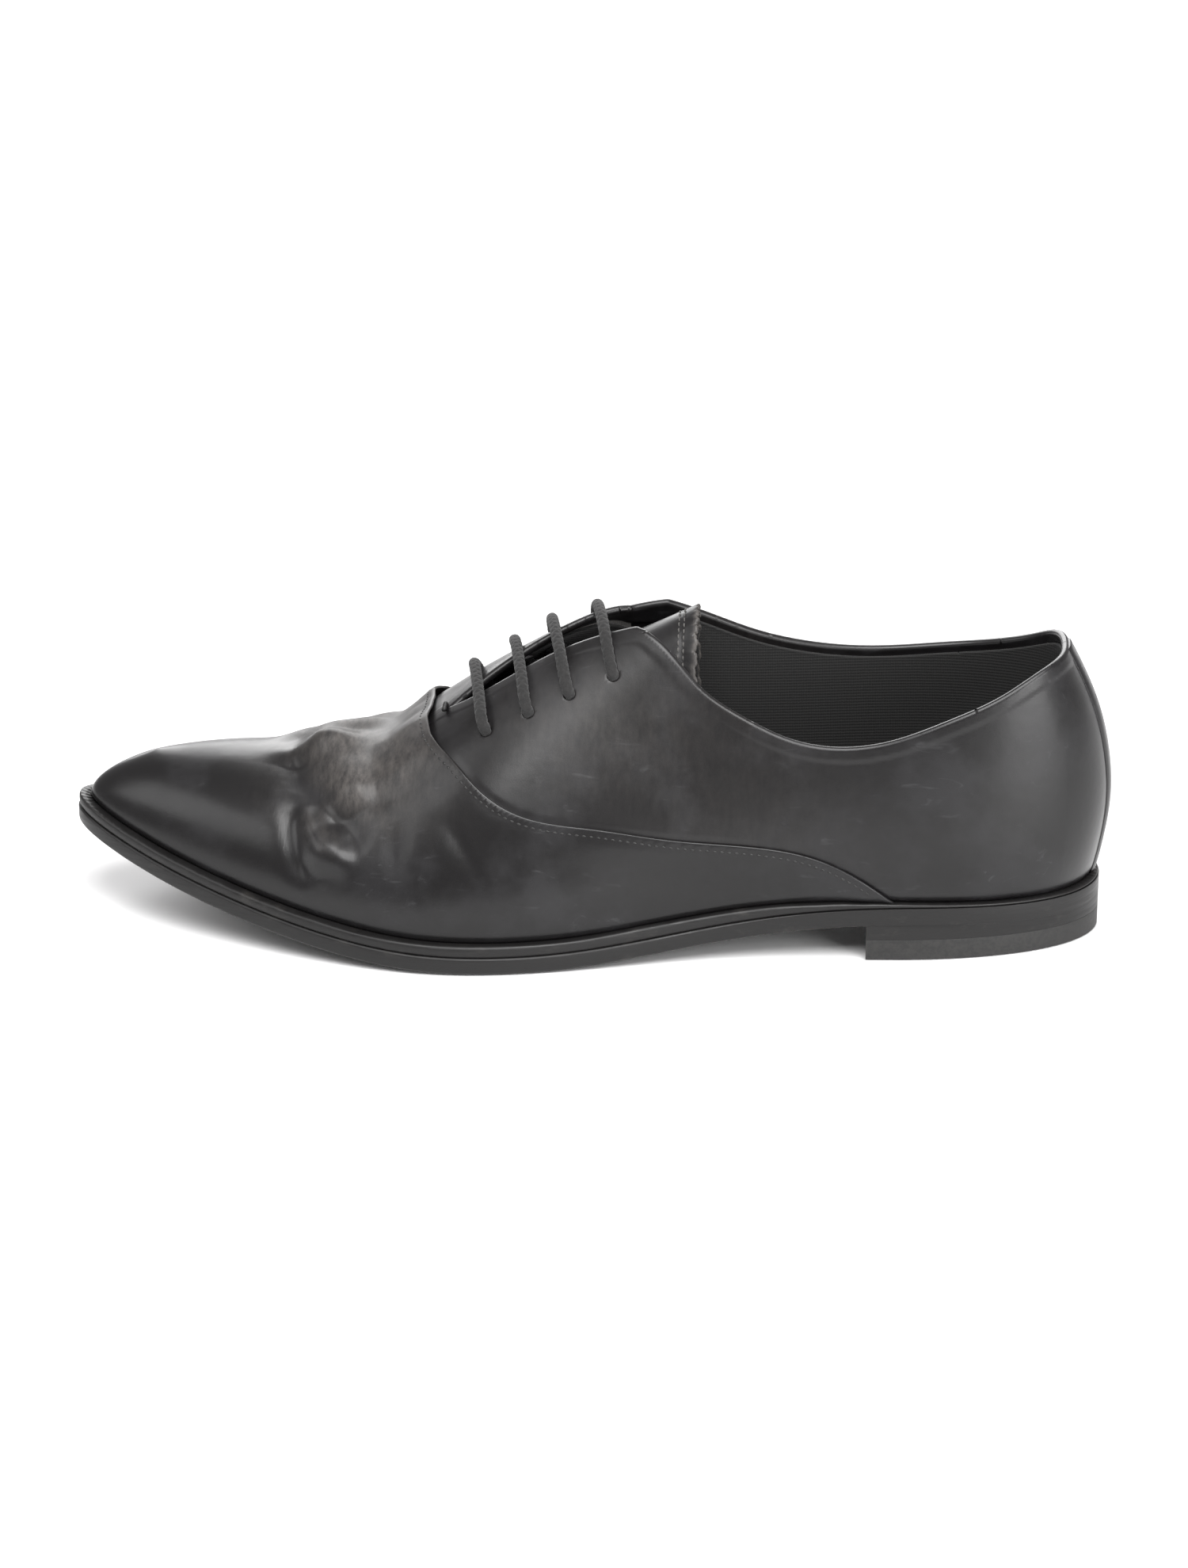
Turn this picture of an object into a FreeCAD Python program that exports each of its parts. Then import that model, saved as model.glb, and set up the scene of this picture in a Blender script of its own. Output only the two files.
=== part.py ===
import FreeCAD, Part
import bisect
import math
import os
from FreeCAD import Vector

# Men's left oxford shoe. Millimetres, +Z up, toe at -X, heel at +X, outer (lateral) side at -Y.
# The plane y = 0 holds the back of the heel and the tip of the toe, and z = 0 is the ground.
# It is drawn about the middle of the sole's length, and its files have their origin under the heel.

doc = FreeCAD.newDocument("oxford_shoe")
sheet = doc.addObject("Spreadsheet::Sheet", "dimensions")

SIZES = {
    "sole_length": 300.0,
    "outsole_thickness": 5.0,
    "welt_width": 12.0,
    "heel_breast_x": 83.0,
    "breast_radius": 160.0,
    "top_piece_thickness": 6.0,
    "lasting_margin": 14.0,
    "upper_thickness": 1.4,
    "stiffener_thickness": 1.0,
    "lining_thickness": 1.0,
    "insole_thickness": 2.6,
    "sock_thickness": 0.9,
    "heel_pad_thickness": 1.6,
    "fit_gap": 0.1,
    "toe_roll": 20.0,
    "toe_roll_start": 0.60,
    "heel_round_end": 0.22,
    "bulge_height": 16.0,
    "backstay_width": 10.0,
    "backstay_thickness": 0.9,
    "tongue_thickness": 1.3,
    "tongue_lining_thickness": 0.8,
    "tongue_rise": 4.2,
    "tongue_drop": 7.0,
    "lace_diameter": 3.2,
    "lace_hole": 4.0,
    "lace_turn_reach": 3.2,
    "eyelet_bore": 4.6,
    "eyelet_wall": 0.4,
    "eyelet_flange": 3.7,
    "shank_width": 12.0,
    "shank_thickness": 1.2,
    "nail_diameter": 2.0,
    "flex_axis_x": -55.0,
    "flex_angle": 28.0,
    "lining_join_x": 108.0,
    "heel_rest_x": 112.0,
}

# Each profile is a list of (place, size) pairs; place is x, or degrees round the sole from the heel back.
PROFILES = {
    "lateral_width": [(0, 0.0), (15, 15.5), (30, 27.0), (45, 33.0), (60, 34.3), (75, 38.0), (90, 48.3),
                      (105, 54.0), (120, 46.6), (135, 33.8), (150, 21.2), (165, 10.2), (180, 0.0)],
    "medial_width": [(0, 0.0), (15, 15.5), (30, 27.0), (45, 33.0), (60, 31.6), (75, 29.8), (90, 36.3),
                     (105, 44.5), (120, 44.6), (135, 35.3), (150, 23.0), (165, 11.2), (180, 0.0)],
    "sole_height": [(-150, 25.0), (-128, 17.0), (-104, 10.2), (-75, 4.2), (-45, 0.6), (-27, 0.0),
                    (0, 0.6), (30, 4.0), (60, 8.2), (85, 10.4), (110, 11.0), (150, 11.0)],
    "edge_height": [(-150, 8.3), (0, 8.3), (50, 8.0), (90, 6.2), (150, 6.0)],
    "feather_inset": [(-150, 3.6), (-40, 3.4), (20, 2.6), (70, 2.2), (150, 2.2)],
    "ridge": [(-127, 46.3), (-105, 48.3), (-80, 48.9), (-55, 56.6), (-30, 73.0), (0, 90.0),
              (30, 105.0), (60, 117.0), (95, 126.0), (150, 130.0)],
    "side_bulge": [(-150, 0.0), (-60, 0.8), (-20, 1.5), (40, 1.0), (90, 2.6), (150, 2.6)],
    "side_hollow": [(-150, 0.0), (-60, 0.0), (-10, 0.08), (40, 0.1), (100, 0.0), (150, 0.0)],
    "heel_back": [(-10, -3.0), (0, 0.0), (10, 2.2), (24, 3.8), (36, 2.9), (45, 1.0), (55, -2.5),
                  (64, -6.8), (80, -16.0), (120, -40.0)],
    "seam": [(-43.6, 61.8), (-37.8, 57.8), (-29.0, 51.7), (-17.6, 45.2), (5.0, 40.6), (27.5, 36.5),
             (50.0, 34.1), (66.0, 31.4), (79.0, 25.9), (91.0, 16.9)],
    "lateral_topline": [(12.2, 91.4), (15.0, 91.9), (18.5, 90.8), (24.0, 87.0), (33.3, 77.5), (47.0, 68.8),
                        (60.5, 63.2), (74.0, 61.6), (88.0, 63.7), (105.0, 70.0), (121.0, 77.0),
                        (131.6, 82.8), (138.5, 85.3), (152.0, 87.5)],
    "medial_topline": [(12.2, 93.2), (15.5, 93.9), (19.5, 93.0), (24.5, 91.0), (36.0, 86.0), (47.5, 81.0),
                       (60.0, 77.2), (82.0, 74.2), (105.0, 75.4), (121.0, 77.8), (131.6, 81.6),
                       (138.5, 85.3), (152.0, 87.5)],
    "lateral_facing": [(-39.5, -11.0), (-36.5, -12.3), (-10.0, -12.2), (7.0, -13.2), (12.2, -14.0)],
    "medial_facing": [(-39.5, -11.0), (-36.0, -9.0), (-22.0, -2.5), (-12.0, 1.5), (2.0, 6.5), (12.2, 11.0)],
    "tongue_edge": [(-47.0, 15.0), (-20.0, 19.0), (10.0, 23.0), (32.0, 23.5)],
}

THROAT_BASE = (-39.5, -11.0)
LATERAL_EYELETS = ((-26.7, -26.6), (-14.7, -25.6), (-3.1, -23.9), (9.3, -22.1))
MEDIAL_EYELETS = ((-31.5, 5.5), (-20.5, 10.0), (-10.0, 14.0), (1.8, 18.0))
FAR = 200.0
ANKLE_HEIGHT = 100.0

row = 1
for alias, number in SIZES.items():
    sheet.set(f"A{row}", alias)
    sheet.set(f"B{row}", str(number))
    sheet.setAlias(f"B{row}", alias)
    row += 1
for name, pairs in PROFILES.items():
    for index, (place, height) in enumerate(pairs):
        sheet.set(f"A{row}", f"{name} {index}")
        sheet.set(f"B{row}", str(place))
        sheet.set(f"C{row}", str(height))
        sheet.setAlias(f"B{row}", f"{name}_place_{index}")
        sheet.setAlias(f"C{row}", f"{name}_size_{index}")
        row += 1
doc.recompute()


def size(alias):
    return float(sheet.get(alias))


def profile(name):
    return [(float(sheet.get(f"{name}_place_{index}")), float(sheet.get(f"{name}_size_{index}")))
            for index in range(len(PROFILES[name]))]


# ---------------------------------------------------------------- curves and the surface of the last

def smooth_curve(pairs):
    """Natural cubic spline through (place, size) pairs, as a function of the place."""
    places = [pair[0] for pair in pairs]
    sizes = [pair[1] for pair in pairs]
    last = len(pairs) - 1
    gaps = [places[i + 1] - places[i] for i in range(last)]
    slopes = [(sizes[i + 1] - sizes[i]) / gaps[i] for i in range(last)]
    bends = [0.0] * (last + 1)
    factors = [0.0] * (last + 1)
    for i in range(1, last):
        pivot = 2.0 * (gaps[i - 1] + gaps[i]) - gaps[i - 1] * factors[i - 1]
        factors[i] = gaps[i] / pivot
        bends[i] = (6.0 * (slopes[i] - slopes[i - 1]) - gaps[i - 1] * bends[i - 1]) / pivot
    for i in range(last - 1, 0, -1):
        bends[i] -= factors[i] * bends[i + 1]

    def value(place):
        i = min(max(bisect.bisect_right(places, place) - 1, 0), last - 1)
        before = place - places[i]
        after = places[i + 1] - place
        straight = (sizes[i] * after + sizes[i + 1] * before) / gaps[i]
        return straight - before * after * (
            bends[i] * (1.0 + after / gaps[i]) + bends[i + 1] * (1.0 + before / gaps[i])) / 6.0

    return value


HALF = size("sole_length") / 2.0
CURVES = {name: smooth_curve(profile(name)) for name in PROFILES}


def smooth_step(value):
    value = min(max(value, 0.0), 1.0)
    return value * value * (3.0 - 2.0 * value)


def outline_point(along, side, inset):
    """Point of the sole outline moved inwards; along runs 0 to 1 from the heel back to the toe tip."""
    width = CURVES["lateral_width" if side < 0 else "medial_width"]
    angle = 180.0 * along
    step = 0.5

    def raw(degrees):
        return HALF * math.cos(math.radians(degrees)), width(degrees)

    def mirrored(degrees):
        if degrees < 0.0:
            x, y = raw(-degrees)
            return x, -y
        if degrees > 180.0:
            x, y = raw(360.0 - degrees)
            return x, -y
        return raw(degrees)

    x, y = mirrored(angle)
    x_before, y_before = mirrored(angle - step)
    x_after, y_after = mirrored(angle + step)
    run = math.hypot(x_after - x_before, y_after - y_before)
    return x - (y_after - y_before) / run * inset, y + (x_after - x_before) / run * inset


def seat_height(x):
    """Top of the sole edge, where the upper meets the welt."""
    return CURVES["sole_height"](x) + CURVES["edge_height"](x)


def upper_point(along, turn, side, depth):
    """Point of the last. turn runs 0 to 90 degrees from the feather line to the ridge; depth is inwards."""
    cosine = math.cos(math.radians(turn))
    sine = math.sin(math.radians(turn))
    base_x = HALF * math.cos(math.pi * along)
    inset = CURVES["feather_inset"](base_x) + depth
    x, width = outline_point(along, side, inset)
    middle_x = (x + outline_point(along, -side, inset)[0]) / 2.0
    toe = smooth_step((along - size("toe_roll_start")) / (1.0 - size("toe_roll_start")))
    seat = seat_height(x)
    rise = (CURVES["ridge"](middle_x + size("toe_roll") * toe) - seat - depth) * sine
    level = rise / size("bulge_height")
    bulge = CURVES["side_bulge"](x) * level * math.exp(1.0 - level)
    bulge *= min(max(width / 20.0, 0.0), 1.0) * min(3.0 * cosine, 1.0)
    hollow = CURVES["side_hollow"](x) * math.sin(2.0 * math.radians(turn)) ** 2
    y = width * cosine * (1.0 - hollow) + bulge
    heel = 1.0 - smooth_step(along / size("heel_round_end"))
    x = middle_x + (x - middle_x) * cosine
    x += size("toe_roll") * toe * (1.0 - cosine * cosine)
    x += heel * CURVES["heel_back"](seat + rise - seat_height(HALF))
    return Vector(x, side * y, seat + rise)


ALONG_STEPS = 40
TURN_STEPS = 12
ALONGS = [step / ALONG_STEPS for step in range(ALONG_STEPS + 1)]
TURNS = [90.0 * step / TURN_STEPS for step in range(TURN_STEPS + 1)]


def spline_through(points, parameters):
    curve = Part.BSplineCurve()
    curve.interpolate(Points=points, Parameters=parameters)
    return curve


def face_through(grid, down, across):
    """Face of the smooth surface through a grid of points, with even parameters both ways."""
    rows = [spline_through(points, across) for points in grid]
    columns = [spline_through(list(poles), down) for poles in zip(*[row.getPoles() for row in rows])]
    surface = Part.BSplineSurface()
    surface.buildFromPolesMultsKnots(
        [list(poles) for poles in zip(*[column.getPoles() for column in columns])],
        columns[0].getMultiplicities(), rows[0].getMultiplicities(),
        columns[0].getKnots(), rows[0].getKnots(), False, False, 3, 3)
    return surface.toShape()


def last_solid(depth):
    """Closed solid inside the surface of the last at a depth, which may be a function of x."""
    faces = []
    floor_edges = []
    for side in (-1, 1):
        grid = []
        for along in ALONGS:
            inwards = depth(HALF * math.cos(math.pi * along)) if callable(depth) else depth
            grid.append([upper_point(along, turn, side, inwards) for turn in TURNS])
        feather = [line[0] for line in grid]
        floor = [Vector(point.x, point.y, -FAR / 4.0) for point in feather]
        feather_edge = spline_through(feather, ALONGS).toShape()
        floor_edge = spline_through(floor, ALONGS).toShape()
        floor_edges.append(floor_edge)
        faces.append(face_through(grid, ALONGS, TURNS))
        faces.append(Part.makeRuledSurface(feather_edge, floor_edge))
    faces.append(Part.Face(Part.Wire(floor_edges)))
    shell = Part.makeShell(faces)
    shell.sewShape()
    below_ankle = Part.makeBox(2.0 * FAR, 2.0 * FAR, FAR, Vector(-FAR, -FAR, ANKLE_HEIGHT - FAR))
    return Part.makeSolid(shell).common(below_ankle)


def inverse(function, low, high, target):
    """Place between low and high where a falling function reaches the target."""
    for _ in range(50):
        middle = (low + high) / 2.0
        if function(middle) > target:
            low = middle
        else:
            high = middle
    return (low + high) / 2.0


def surface_at(x, y, depth):
    """Point of the last straight above or below (x, y), away from the toe and the heel."""
    side = -1 if y < 0 else 1
    along = inverse(lambda value: upper_point(value, 45.0, side, depth).x, 0.25, 0.75, x)
    turn = inverse(lambda value: side * upper_point(along, value, side, depth).y, 5.0, 90.0, side * y)
    return upper_point(along, turn, side, depth)


def normal_at(x, y):
    """Outward normal of the last over (x, y)."""
    reach = 0.5
    side_step = surface_at(x, y + reach, 0.0) - surface_at(x, y - reach, 0.0)
    length_step = surface_at(x + reach, y, 0.0) - surface_at(x - reach, y, 0.0)
    normal = length_step.cross(side_step)
    return normal.normalize()


# ---------------------------------------------------------------- cutting regions

def face_of(edges):
    return Part.Face(Part.Wire(Part.__sortEdges__(edges)))


def polyline(points):
    return [Part.makeLine(a, b) for a, b in zip(points, points[1:])]


def side_region(curve_points, closing_points, y_from=-FAR, y_to=FAR, start=None):
    """Prism along Y over a profile: a smooth curve through (x, z) points closed by straight lines."""
    points = [Vector(x, y_from, z) for x, z in curve_points]
    closing = [points[-1]] + [Vector(x, y_from, z) for x, z in closing_points] + [points[0]]
    curve = Part.BSplineCurve()
    if start:
        curve.interpolate(Points=points, InitialTangent=start, FinalTangent=points[-1] - points[-2])
    else:
        curve.interpolate(points)
    return face_of([curve.toShape()] + polyline(closing)).extrude(Vector(0, y_to - y_from, 0))


def plan_region(points):
    """Prism along Z over a polygon in plan."""
    corners = [Vector(x, y, -FAR) for x, y in points]
    return face_of(polyline(corners + corners[:1])).extrude(Vector(0, 0, 2.0 * FAR))


def height_curve(function, offset):
    return [(x, function(x) + offset) for x in range(-165, 166, 10)]


def above(function, offset=0.0):
    points = height_curve(function, offset)
    return side_region(points, [(points[-1][0], FAR), (points[0][0], FAR)])


def below(function, offset=0.0):
    points = height_curve(function, offset)
    return side_region(points, [(points[-1][0], -FAR), (points[0][0], -FAR)])


def outline_face(inset):
    """Plan outline of the sole moved inwards, as a face far below the shoe. A deep inset ends in a point."""
    sides = {}
    for side in (-1, 1):
        points = [outline_point(along, side, inset) for along in ALONGS[1:-1]]
        sides[side] = [(x, y) for x, y in points if y > 0.4 * inset]
    tip_x = min(points[-1][0] for points in sides.values()) - 0.2 * inset if inset else -HALF
    edges = []
    for side, points in sides.items():
        ring = [(HALF - inset, 0.0)] + points + [(tip_x, 0.0)]
        curve = Part.BSplineCurve()
        curve.interpolate([Vector(x, side * y, -FAR / 4.0) for x, y in ring])
        edges.append(curve.toShape())
    return Part.Face(Part.Wire(edges))


def block(x_from, x_to, y_from, y_to, z_from=-FAR, z_to=FAR):
    return Part.makeBox(x_to - x_from, y_to - y_from, z_to - z_from, Vector(x_from, y_from, z_from))


# ---------------------------------------------------------------- document objects

NODES = []


def node(item, label):
    item.Label = label
    NODES.append(item)
    return item


def feature(label, shape, kept=True):
    item = doc.addObject("Part::Feature", label)
    item.Shape = shape
    item.Placement = FreeCAD.Placement()
    return node(item, label) if kept else item


def boolean(kind, name, base, tool):
    item = doc.addObject("Part::" + kind, name)
    item.Base = base
    item.Tool = tool
    return item


def origin_plane(body, role):
    return [plane for plane in body.Origin.OriginFeatures if plane.Role == role][0]


def outline_prism(name, inset):
    """Upright prism over the sole outline moved inwards."""
    prism = doc.addObject("Part::Extrusion", name)
    prism.Base = feature(name + "_outline", outline_face(inset), kept=False)
    prism.DirMode = "Custom"
    prism.Dir = Vector(0, 0, 1)
    prism.LengthFwd = FAR
    prism.Solid = True
    return prism


def sole_height(x):
    return CURVES["sole_height"](x)


def split_at_flex(item, name):
    """Back, flexing and toe stretches of a piece that bends at the ball of the foot."""
    for region, ending in ((BACK_REGION, "back"), (FLEX_REGION, "flex"), (TOE_REGION, "toe")):
        node(boolean("Common", f"{name}_{ending}", item, region), f"{name}_{ending}")


axis_x = size("flex_axis_x")
axis_z = sole_height(axis_x)
lean = math.tan(math.radians(size("flex_angle")))
flex_top = (axis_x - lean * (FAR - axis_z), FAR)
flex_foot = (axis_x - 0.4, axis_z - 2.0)
BACK_REGION = feature("back_region", block(axis_x, FAR, -FAR, FAR), kept=False)
FLEX_REGION = feature("flex_region", face_of(polyline([
    Vector(x, -FAR, z) for x, z in
    ((axis_x, FAR), (axis_x, axis_z - 2.0), flex_foot, flex_top, (axis_x, FAR))
])).extrude(Vector(0, 2.0 * FAR, 0)), kept=False)
TOE_REGION = feature("toe_region", face_of(polyline([
    Vector(x, -FAR, z) for x, z in
    (flex_top, flex_foot, (flex_foot[0], -FAR), (-FAR, -FAR), (-FAR, FAR), flex_top)
])).extrude(Vector(0, 2.0 * FAR, 0)), kept=False)


# ---------------------------------------------------------------- sole, heel and bottom pieces

sole = outline_prism("sole_prism", 0.0)
outsole_band = feature("outsole_band", below(sole_height, size("outsole_thickness")).common(above(sole_height)),
                       kept=False)
outsole_whole = boolean("Common", "outsole_whole", sole, outsole_band)

welt_inner = outline_prism("welt_inner", size("welt_width"))
welt_ring = boolean("Cut", "welt_ring", sole, welt_inner)
welt_band = feature("welt_band", above(sole_height, size("outsole_thickness")).common(below(seat_height)),
                    kept=False)
welt_whole = boolean("Common", "welt_whole", welt_ring, welt_band)
split_at_flex(welt_whole, "welt")


def make_shank():
    """Steel strip that follows the arch, drawn from its side and padded across."""
    body = doc.addObject("PartDesign::Body", "shank_body")
    sketch = body.newObject("Sketcher::SketchObject", "shank_side")
    sketch.AttachmentSupport = [(origin_plane(body, "XZ_Plane"), "")]
    sketch.MapMode = "FlatFace"
    middle = [(-8.0, 7.6), (25.0, 10.3), (60.0, 15.0), (92.0, 16.9)]
    half = size("shank_thickness") / 2.0
    corners = [(x, z - half) for x, z in middle] + [(x, z + half) for x, z in reversed(middle)]
    for start, end in zip(corners, corners[1:] + corners[:1]):
        sketch.addGeometry(Part.LineSegment(Vector(*start, 0), Vector(*end, 0)))
    pad = body.newObject("PartDesign::Pad", "shank_pad")
    pad.Profile = sketch
    pad.SideType = "Symmetric"
    pad.setExpression("Length", "dimensions.shank_width")
    body.Tip = pad
    return body


shank = node(make_shank(), "shank")

filler_prism = outline_prism("filler_prism", size("lasting_margin") + 4.5)
filler_band = feature("filler_band", above(sole_height, size("outsole_thickness")).common(
    below(seat_height, size("upper_thickness"))), kept=False)
filler_full = boolean("Common", "filler_full", filler_prism, filler_band)
filler_whole = boolean("Cut", "filler_whole", filler_full, shank)
split_at_flex(filler_whole, "cork_filler")

breast_cutter = doc.addObject("Part::Cylinder", "breast_cutter")
breast_cutter.setExpression("Radius", "dimensions.breast_radius")
breast_cutter.Height = FAR
breast_sag = 3.4
breast_cutter.Placement.Base = Vector(size("heel_breast_x") + breast_sag - size("breast_radius"), 0, -FAR / 2.0)
fore_block = doc.addObject("Part::Box", "fore_block")
fore_block.Length = FAR + size("heel_breast_x") - 40.0
fore_block.Width = FAR
fore_block.Height = FAR
fore_block.Placement.Base = Vector(-FAR, -FAR / 2.0, -FAR / 2.0)
heel_front = boolean("Fuse", "heel_front", breast_cutter, fore_block)
heel_full = boolean("Cut", "heel_full", sole, heel_front)
lift_band = feature("lift_band", below(sole_height).common(
    block(-FAR, FAR, -FAR, FAR, size("top_piece_thickness"))), kept=False)
heel_block_full = boolean("Common", "heel_block_full", heel_full, lift_band)
ground_band = doc.addObject("Part::Box", "ground_band")
ground_band.Length = FAR
ground_band.Width = FAR
ground_band.setExpression("Height", "dimensions.top_piece_thickness")
ground_band.Placement.Base = Vector(0, -FAR / 2.0, 0)
top_piece_full = boolean("Common", "top_piece_full", heel_full, ground_band)


def nail_group(label, places, z_from, z_to):
    """Upright round nails, as one group of separate solids."""
    nails = []
    for index, (x, y) in enumerate(places):
        nail = doc.addObject("Part::Cylinder", f"{label}_{index}")
        nail.setExpression("Radius", "dimensions.nail_diameter / 2")
        nail.Height = z_to - z_from
        nail.Placement.Base = Vector(x, y, z_from)
        nails.append(nail)
    group = doc.addObject("Part::MultiFuse", label)
    group.Shapes = nails
    return group


heel_nails = nail_group("heel_nails", [(98, -20), (98, 20), (122, -16), (122, 16), (134, 0)], 6.0, 15.0)
piece_nail_places = [(90, -26), (90, 26), (112, -26), (112, 26), (131, -17), (131, 17), (140, 0)]
top_piece_nails = nail_group("top_piece_nails", piece_nail_places, 0.3, 9.0)
node(heel_nails, "heel_nails")
node(top_piece_nails, "top_piece_nails")
outsole_nailed = boolean("Cut", "outsole_nailed", outsole_whole, heel_nails)
split_at_flex(outsole_nailed, "outsole")
heel_drilled = boolean("Cut", "heel_drilled", heel_block_full, heel_nails)
node(boolean("Cut", "heel_block", heel_drilled, top_piece_nails), "heel_block")
nail_sinks = nail_group("nail_sinks", piece_nail_places, -1.0, 9.0)
node(boolean("Cut", "heel_top_piece", top_piece_full, nail_sinks), "heel_top_piece")


def make_heel_pad():
    """Foam pad let into the insole under the heel of the foot."""
    body = doc.addObject("PartDesign::Body", "heel_pad_body")
    sketch = body.newObject("Sketcher::SketchObject", "heel_pad_plan")
    sketch.AttachmentSupport = [(origin_plane(body, "XY_Plane"), "")]
    sketch.MapMode = "FlatFace"
    sketch.AttachmentOffset = FreeCAD.Placement(Vector(0, 0, pad_floor), FreeCAD.Rotation())
    front, back, radius = 100.0, 122.0, 19.0
    up, down = math.pi / 2.0, -math.pi / 2.0
    sketch.addGeometry(Part.ArcOfCircle(Part.Circle(Vector(back, 0, 0), Vector(0, 0, 1), radius), down, up))
    sketch.addGeometry(Part.ArcOfCircle(Part.Circle(Vector(front, 0, 0), Vector(0, 0, 1), radius), up, 3 * up))
    sketch.addGeometry(Part.LineSegment(Vector(front, radius, 0), Vector(back, radius, 0)))
    sketch.addGeometry(Part.LineSegment(Vector(front, -radius, 0), Vector(back, -radius, 0)))
    pad = body.newObject("PartDesign::Pad", "heel_pad_pad")
    pad.Profile = sketch
    pad.setExpression("Length", "dimensions.heel_pad_thickness")
    body.Tip = pad
    return body


# ---------------------------------------------------------------- layers over the last

upper_in = size("upper_thickness")
stiffener_in = upper_in + size("stiffener_thickness")
lining_in = stiffener_in + size("lining_thickness")
LASTS = {depth: last_solid(depth) for depth in (-size("backstay_thickness"), 0.0, upper_in, stiffener_in,
                                                lining_in, lining_in + size("fit_gap"))}
ABOVE_SEAT = above(seat_height)
ABOVE_MARGIN = above(seat_height, upper_in)


def layer(outer_depth, inner_depth, floor):
    return LASTS[outer_depth].common(floor).cut(LASTS[inner_depth])


def collar_cut(name, side):
    """Everything above the topline on one side of the shoe."""
    points = profile(name)
    y_from, y_to = (-FAR, 0.0) if side < 0 else (0.0, FAR)
    return side_region(points, [(points[-1][0], FAR), (points[0][0], FAR)], y_from, y_to)


ABOVE_TOPLINES = (collar_cut("lateral_topline", -1), collar_cut("medial_topline", 1))


def quarter_plan(name, side):
    """Plan of one side behind the throat, bounded by its facing edge and by the middle plane."""
    facing = profile(name)
    return plan_region([(-FAR, facing[0][1])] + facing
                       + [(60.0, 0.0), (FAR, 0.0), (FAR, side * FAR), (-FAR, side * FAR)])


SIDES = {"lateral": (-1, quarter_plan("lateral_facing", -1)), "medial": (1, quarter_plan("medial_facing", 1))}
seam = profile("seam")
FRONT_OF_SEAM = side_region(seam, [(seam[-1][0], -FAR), (-FAR, -FAR), (-FAR, FAR), (seam[0][0], FAR)],
                            start=Vector(0, 0, -1))


def open_collar(shape):
    for region in ABOVE_TOPLINES:
        shape = shape.cut(region)
    return shape


def eyelet_places(side):
    return LATERAL_EYELETS if side < 0 else MEDIAL_EYELETS


def bores(side, radius):
    """Cylinders through every layer at the eyelets of one side."""
    reach = 12.0
    rods = []
    for x, y in eyelet_places(side):
        normal = normal_at(x, y)
        rods.append(Part.makeCylinder(radius, 2.0 * reach, surface_at(x, y, 0.0) - normal * reach, normal))
    return Part.makeCompound(rods)


lace_hole = size("lace_hole") / 2.0
bore = size("eyelet_bore") / 2.0
eyelet_outer = bore + size("eyelet_wall")

upper_shell = LASTS[0.0].common(ABOVE_SEAT)
upper_shell = upper_shell.cut(LASTS[upper_in].common(ABOVE_MARGIN))
margin_edge = outline_face(CURVES["feather_inset"](0.0) + size("lasting_margin"))
upper_shell = upper_shell.cut(margin_edge.extrude(Vector(0, 0, FAR)).common(below(seat_height, 2.0 * upper_in)))
vamp_whole = feature("vamp_whole", upper_shell.common(FRONT_OF_SEAM), kept=False)
split_at_flex(vamp_whole, "vamp")
quarters = open_collar(upper_shell.cut(FRONT_OF_SEAM))

stiffener_shell = layer(upper_in, stiffener_in, ABOVE_MARGIN)
lining_shell = layer(stiffener_in, lining_in, ABOVE_MARGIN)
lining_behind = open_collar(lining_shell.cut(FRONT_OF_SEAM))
GRIP_REGION = block(size("lining_join_x"), FAR, -FAR, FAR)


def stay_plan(name, side):
    """Strip behind a facing, as wide as the eyelets need."""
    facing = profile(name)
    strip = 19.0
    return plan_region(facing + [(x, y + side * strip) for x, y in reversed(facing)])


def tape_region(name, side):
    """Band just under the topline."""
    points = [(x, z) for x, z in profile(name) if x > 20.0]
    top = [(x, z - 0.6) for x, z in points]
    foot = [(x, z - 7.0) for x, z in points]
    y_from, y_to = (-FAR, 0.0) if side < 0 else (0.0, FAR)
    upper = side_region(top, [(top[-1][0], -FAR), (top[0][0], -FAR)], y_from, y_to)
    return upper.cut(side_region(foot, [(foot[-1][0], -FAR), (foot[0][0], -FAR)], y_from, y_to))


for name, (side, plan) in SIDES.items():
    feature(f"{name}_quarter", quarters.common(plan).cut(bores(side, lace_hole)))
    feature(f"{name}_quarter_lining",
            lining_behind.common(plan).cut(GRIP_REGION).cut(bores(side, eyelet_outer)))
    behind = open_collar(stiffener_shell.cut(FRONT_OF_SEAM)).common(plan)
    stay = stay_plan(f"{name}_facing", side)
    feature(f"{name}_facing_stay", behind.common(stay).cut(bores(side, eyelet_outer)))
    feature(f"{name}_topline_tape", behind.common(tape_region(f"{name}_topline", side)).cut(stay))
    rings = []
    for x, y in eyelet_places(side):
        normal = normal_at(x, y)
        centre = surface_at(x, y, 0.0)
        tube_foot = centre - normal * lining_in
        tube = Part.makeCylinder(eyelet_outer, lining_in - upper_in, tube_foot, normal)
        flange = Part.makeCylinder(size("eyelet_flange"), 0.5, tube_foot - normal * 0.7, normal)
        collar = Part.makeCylinder(eyelet_outer, 0.3, tube_foot - normal * 0.25, normal)
        hole = Part.makeCylinder(bore, 20.0, centre - normal * 10.0, normal)
        rings.append(tube.fuse([flange, collar]).cut(hole))
    feature(f"{name}_eyelets", Part.makeCompound(rings))

feature("heel_grip_lining", lining_behind.common(GRIP_REGION))
vamp_lining_whole = feature("vamp_lining_whole", lining_shell.common(FRONT_OF_SEAM), kept=False)
split_at_flex(vamp_lining_whole, "vamp_lining")

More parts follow.
